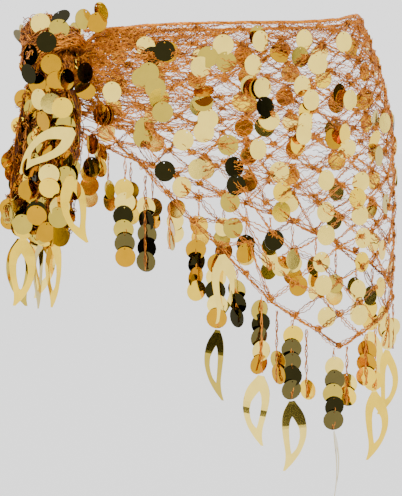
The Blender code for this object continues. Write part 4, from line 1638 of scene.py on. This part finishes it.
def add_loft(points: list, faces: list, rings: list, closed: bool) -> None:
    """Adds a skin through rings of points.

    Args:
        points: the list that the points go to.
        faces: the list that the faces go to.
        rings: the rings, all with as many points.
        closed: whether the last ring joins the first; otherwise both ends are capped.
    """
    start, sides = len(points), len(rings[0])
    for ring in rings:
        points.extend(ring)
    spans = len(rings) if closed else len(rings) - 1
    for low in range(spans):
        high = (low + 1) % len(rings)
        for k in range(sides):
            after = (k + 1) % sides
            faces.append([
                start + low * sides + k, start + low * sides + after,
                start + high * sides + after, start + high * sides + k,
            ])
    if not closed:
        faces.append([start + k for k in reversed(range(sides))])
        faces.append([start + (len(rings) - 1) * sides + k for k in range(sides)])


class TailSection(NamedTuple):
    """One level of a hanging tail, in millimetres: its middle, its width and the depth of its folds."""

    height: float
    x: float
    y: float
    width: float
    depth: float


FRONT_TAIL = (
    TailSection(-74.8, -146, -93, 24, 8),
    TailSection(-92, -148, -94, 36, 10),
    TailSection(-112, -151, -94, 47, 12),
    TailSection(-140, -155, -94, 50, 14),
    TailSection(-170, -160, -93, 48, 15),
    TailSection(-194, -163, -92, 52, 15),
    TailSection(-212, -166, -91, 48, 14),
)
BACK_TAIL = (
    TailSection(-66.8, -171, -54, 22, 8),
    TailSection(-86, -173, -55, 32, 10),
    TailSection(-108, -175, -56, 38, 12),
    TailSection(-136, -178, -56, 42, 14),
    TailSection(-168, -181, -56, 40, 14),
    TailSection(-204, -184, -55, 44, 14),
)
TAIL_TURN = -22.0
TAIL_FOLDS = 4


@dataclass(frozen=True)
class Tail:
    """A corner of the triangle that hangs gathered from the knot, with threads and tangles on both sides."""

    name: str
    sections: tuple[TailSection, ...]
    coins: int
    crescents: tuple[FringeString, ...]
    thread: float = 0.46 * MM
    threads: int = 80
    tangles: int = 230
    filling: float = 1.5 * MM

    def axes(self) -> tuple[np.ndarray, np.ndarray]:
        """Works out the tail's own directions.

        Returns:
            Unit vectors along the tail's width and out from its front.
        """
        turn = math.radians(TAIL_TURN)
        across = np.array((math.cos(turn), math.sin(turn), 0.0))
        return across, np.array((across[1], -across[0], 0.0))

    def ends(self) -> tuple[float, float]:
        """Heights of its top and its foot."""
        return self.sections[0].height * MM, self.sections[-1].height * MM

    def at(self, height: float, share: float, lift: float) -> np.ndarray:
        """A point on the folded tail.

        Args:
            height: its level.
            share: its place over the width, from -0.5 to 0.5.
            lift: its distance out from the folds.

        Returns:
            The point.
        """
        levels = [s.height for s in reversed(self.sections)]
        x, y, width, depth = (
            between(levels, [getattr(s, size) for s in reversed(self.sections)], height / MM) * MM
            for size in ("x", "y", "width", "depth")
        )
        fold = -0.5 * depth * math.cos(math.tau * TAIL_FOLDS * (share + 0.5))
        across, front = self.axes()
        return np.array((x, y, height)) + across * share * width + front * (fold + lift)

    def build(self) -> None:
        """Makes the gathered net, its coins and its fringe."""
        self.fill()
        fringe = Fringe(yarn=Yarn(self.thread, 3))
        self.gather(fringe.yarn)
        self.lay_coins(fringe.film)
        foot = self.ends()[1]
        for kind in self.crescents:
            fringe.string(self.at(foot, kind.column / 2, 0), self.axes()[1], kind)
        side = self.name.split("_")[1]
        nodes = [f"tail_fringe_{side}", f"tail_coins_{side}"]
        declare(fringe.film.press(f"{self.name}_film"), nodes)
        declare(fringe.yarn.spin(f"{self.name}_yarn", SHADED_GATHERED))

    def fill(self) -> None:
        """Makes the folded sheet that the threads lie on, coloured dark as painted shade between them."""
        shares = np.linspace(-0.47, 0.47, 33)
        rings = []
        for height in np.linspace(*self.ends(), 14):
            face = [self.at(height, share, self.filling) for share in shares]
            rings.append(face + [self.at(height, share, -self.filling) for share in reversed(shares)])
        points, faces = [], []
        add_loft(points, faces, rings, closed=False)
        declare(mesh_object(f"{self.name}_filling", np.array(points), faces, PAINTED_SHADE_FILL), [self.name])

    def gather(self, yarn: Yarn) -> None:
        """Adds the threads that hang down the tail and the tangles among them.

        Args:
            yarn: the yarn that they are added to.
        """
        top, foot = self.ends()
        across, front = self.axes()
        for side in (-1, 1):
            for _ in range(self.threads):
                share, phase = RANDOM.uniform(-0.49, 0.49), RANDOM.uniform(0, math.tau)
                end = foot + RANDOM.uniform(-4, 10) * MM
                heights = np.linspace(top - RANDOM.uniform(0, 8) * MM, end, 26)
                line = [
                    self.at(h, share + 0.02 * math.sin(h * 190 + phase), side * RANDOM.uniform(2.0, 3.4) * MM)
                    for h in heights
                ]
                yarn.add(line)
            for _ in range(self.tangles):
                height, share = RANDOM.uniform(foot, top), RANDOM.uniform(-0.5, 0.5)
                spot = self.at(height, share, side * RANDOM.uniform(2.5, 5) * MM)
                yarn.tangle(spot, across, front * side, RANDOM.uniform(2.6, 4.6) * MM, 1)

    def lay_coins(self, film: Film) -> None:
        """Hangs coins at random on the tail, and those of the front tail that show.

        Args:
            film: the film that they are added to.
        """
        top, foot = self.ends()
        front = self.axes()[1]
        for number in range(self.coins):
            height = top - 8 * MM + (foot - top + 10 * MM) * ((number * LENGTH_STEP) % 1)
            share = RANDOM.uniform(-0.42, 0.42)
            side = -1 if number % 4 == 3 else 1
            spot = self.at(height, share, side * RANDOM.uniform(3.0, 5.0) * MM)
            film.hang(
                spot, front * side, RANDOM.normal(0, 34), RANDOM.normal(6, 10), RANDOM.normal(0, 16),
                tone=RANDOM.uniform(0.55, 1.0),
            )
        if self.name == "tail_front":
            film.lay(TAIL_COINS)
            film.hook(TAIL_CRESCENTS)


@dataclass(frozen=True)
class Throat:
    """One end of the net, whose threads run together into the knot.

    It reaches over some columns from its last one, and its inward step is 1 or -1. The threads end inside the
    knot, scattered, behind its middle and on their own side of it by the lead, in millimetres.
    """

    side: str
    column: int
    inward: int
    reach: int
    thread: float = 0.5 * MM
    edge_threads: int = 5
    inner_threads: int = 3
    lead: float = 16
    scatter: tuple[float, float, float] = (1.5 * MM, 1.5 * MM, 5 * MM)

    def build(self, net: Net, knot: SideKnot) -> None:
        """Makes its threads.

        Args:
            net: the net that they leave.
            knot: the knot that they run into.
        """
        yarn = Yarn(self.thread)
        for steps in range(self.reach):
            column = self.column + self.inward * steps
            for row in NET.rows(column):
                if not steps or row <= 6 + 2 * (self.reach - steps):
                    self.gather(yarn, net.places[column, row], column, knot)
        declare(yarn.spin(f"gathers_{self.side}_yarn"), [f"throat_{self.side}"])

    def gather(self, yarn: Yarn, start: np.ndarray, column: int, knot: SideKnot) -> None:
        """Runs the threads of one of the net's knots into the side knot.

        Args:
            yarn: the yarn that they are added to.
            start: the net's knot.
            column: its column.
            knot: the side knot.
        """
        along, off = HIPS.axes(NET.angle(column), float(start[2]))
        out = knot.axes().out
        for _ in range(self.edge_threads if column == self.column else self.inner_threads):
            spread = RANDOM.normal(0, 1, 3) * self.scatter
            target = knot.centre + spread - out * KNOT_DEPTH * MM + along * self.inward * self.lead * MM
            level = float(start[2]) * 0.8 + knot.centre[2] * 0.2
            turn = NET.angle(self.column) - self.inward * 1.5
            middle = HIPS.point(turn, level, RANDOM.uniform(1, 3) * MM)
            if column == self.column:
                middle = start
            else:
                yarn.strand(start, middle, off, 1.0 * MM, 2.0 * MM)
            yarn.strand(middle, target, off, 0.3 * MM, 1.4 * MM, 10)


class DarkCard(NamedTuple):
    """A card round the scarf: azimuth and elevation in degrees, width and height in metres."""

    azimuth: float
    elevation: float
    width: float
    height: float


CARDS = (
    DarkCard(-30, 16, 0.4, 1.6), DarkCard(22, -14, 0.35, 1.5), DarkCard(60, 12, 0.6, 2.2),
    DarkCard(-72, 0, 0.7, 2.2), DarkCard(150, 10, 0.9, 2.2), DarkCard(-13, 9, 0.22, 0.7),
    DarkCard(9, -7, 0.5, 0.2), DarkCard(17, 14, 0.24, 0.8), DarkCard(-4, -16, 0.7, 0.25),
    DarkCard(3, 24, 0.9, 0.3), DarkCard(-50, -20, 0.5, 0.9), DarkCard(40, 30, 0.5, 0.9),
    DarkCard(-20, -24, 0.5, 0.5), DarkCard(-95, 10, 0.7, 1.8), DarkCard(100, 0, 0.7, 1.8),
)


@dataclass(frozen=True)
class Studio:
    """A pale floor, soft light, dark cards that only mirrors see, and the photograph's camera."""

    world_strength: float = 1.9
    floor_size: float = 60
    floor_height: float = -1.0
    card_distance: float = 3.4
    lamp_power: float = 30
    lamp_size: float = 1.2
    lamp_place: tuple[float, float, float] = (-1.3, -2.0, 1.5)
    lamp_aim: tuple[float, float, float] = (0, 0, -0.2)

    def build(self) -> None:
        """Sets up the studio."""
        world = bpy.data.worlds.new("studio")
        world.use_nodes = True
        background = world.node_tree.nodes["Background"]
        background.inputs["Color"].default_value = (1.0, 1.0, 1.0, 1)
        background.inputs["Strength"].default_value = self.world_strength
        bpy.context.scene.world = world
        bpy.ops.mesh.primitive_plane_add(size=self.floor_size, location=(0, 0, self.floor_height))
        floor = bpy.context.object
        floor.name = "floor"
        floor.data.materials.append(self.matt("pale_floor", (0.93, 0.93, 0.93), 0.9))
        dark = self.matt("dark_card", (0.02, 0.02, 0.018), 1.0)
        cards = [self.card(f"dark_card_{number}", size, dark) for number, size in enumerate(CARDS)]
        self.lamp()
        self.camera()

    def matt(self, name: str, colour: tuple[float, float, float], roughness: float) -> bpy.types.Material:
        """Makes a matt material.

        Args:
            name: its name.
            colour: its one colour.
            roughness: how rough it is.

        Returns:
            The material.
        """
        made = bpy.data.materials.new(name)
        made.use_nodes = True
        made.node_tree.nodes["Principled BSDF"].inputs["Base Color"].default_value = (*colour, 1)
        made.node_tree.nodes["Principled BSDF"].inputs["Roughness"].default_value = roughness
        return made

    def card(self, name: str, size: DarkCard, dark: bpy.types.Material) -> bpy.types.Object:
        """Sets up one dark card.

        Args:
            name: its name.
            size: where it stands and how large it is.
            dark: its material.

        Returns:
            The card.
        """
        turn, rise = math.radians(size.azimuth), math.radians(size.elevation)
        away = Vector((math.sin(turn) * math.cos(rise), -math.cos(turn) * math.cos(rise), math.sin(rise)))
        bpy.ops.mesh.primitive_plane_add(size=1, location=away * self.card_distance)
        card = bpy.context.object
        card.name = name
        card.scale = (size.width, size.height, 1)
        card.rotation_mode = "QUATERNION"
        card.rotation_quaternion = (-away).to_track_quat("Z", "Y")
        card.visible_camera = False
        card.visible_diffuse = False
        card.visible_shadow = False
        card.data.materials.append(dark)
        return card

    def lamp(self) -> bpy.types.Object:
        """Hangs the soft lamp.

        Returns:
            The lamp.
        """
        lamp = bpy.data.lights.new("soft_key", "AREA")
        lamp.energy, lamp.size = self.lamp_power, self.lamp_size
        key = bpy.data.objects.new("soft_key", lamp)
        key.location = self.lamp_place
        key.rotation_euler = (Vector(self.lamp_aim) - key.location).to_track_quat("-Z", "Y").to_euler()
        bpy.context.scene.collection.objects.link(key)
        return key

    def camera(self) -> None:
        """Sets up the camera."""
        lens = bpy.data.cameras.new("camera")
        lens.sensor_width = SENSOR_WIDTH
        lens.lens = SENSOR_WIDTH * CAMERA_DISTANCE / PICTURE_HEIGHT
        camera = bpy.data.objects.new("camera", lens)
        rise = math.radians(CAMERA_RISE)
        back = Vector((0, -math.cos(rise), math.sin(rise)))
        camera.location = CAMERA_TARGET + back * CAMERA_DISTANCE
        camera.rotation_euler = (-back).to_track_quat("-Z", "Y").to_euler()
        bpy.context.scene.collection.objects.link(camera)
        bpy.context.scene.camera = camera


def main() -> None:
    """Builds the scarf and the studio."""
    logging.basicConfig(level=logging.INFO, format="%(message)s")
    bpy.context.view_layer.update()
    net = Net()
    coins = sorted(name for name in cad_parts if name.startswith("coins_"))
    front = net.panel("net_front_yarn", "net_front", -FRONT_COLUMNS, SPLIT_COLUMN)
    back = net.panel("net_back_yarn", "net_back", SPLIT_COLUMN + 1, BACK_COLUMNS)
    Strays("net_front_strays", -FRONT_COLUMNS, SPLIT_COLUMN, 1050, 0.6).build()
    Strays("net_back_strays", SPLIT_COLUMN, BACK_COLUMNS, 500).build()
    Strays("net_side_strays", 2, SPLIT_COLUMN + 3, 150, 0.95).build()
    net.coins("net_front_coins", [n for n in coins if "front" in n], 4, SPLIT_COLUMN, NET_COINS)
    net.coins("net_back_coins", [n for n in coins if "back" in n], SPLIT_COLUMN + 1, BACK_COLUMNS - 3)
    knot = SideKnot()
    WaistCord().build("front", -FRONT_COLUMNS, SPLIT_COLUMN)
    WaistCord().build("back", SPLIT_COLUMN, BACK_COLUMNS, [knot.centre - knot.axes().out * KNOT_DEPTH * MM])
    Fringe().along_hem("front", FRONT_STRINGS)
    behind = range(SPLIT_COLUMN + 4, BACK_COLUMNS)
    back_strings = tuple(BACK_STRING_KINDS[c % 2]._replace(column=c) for c in behind)
    Fringe().along_hem("back", SIDE_STRINGS + back_strings)
    knot.build()
    Throat("front", -FRONT_COLUMNS, 1, 7).build(net, knot)
    Throat("back", BACK_COLUMNS, -1, 3).build(net, knot)
    Tail("tail_front", FRONT_TAIL, 96, TAIL_FRONT_STRINGS).build()
    Tail("tail_back", BACK_TAIL, 60, TAIL_BACK_STRINGS).build()
    Studio().build()


if __name__ == "__main__":
    main()
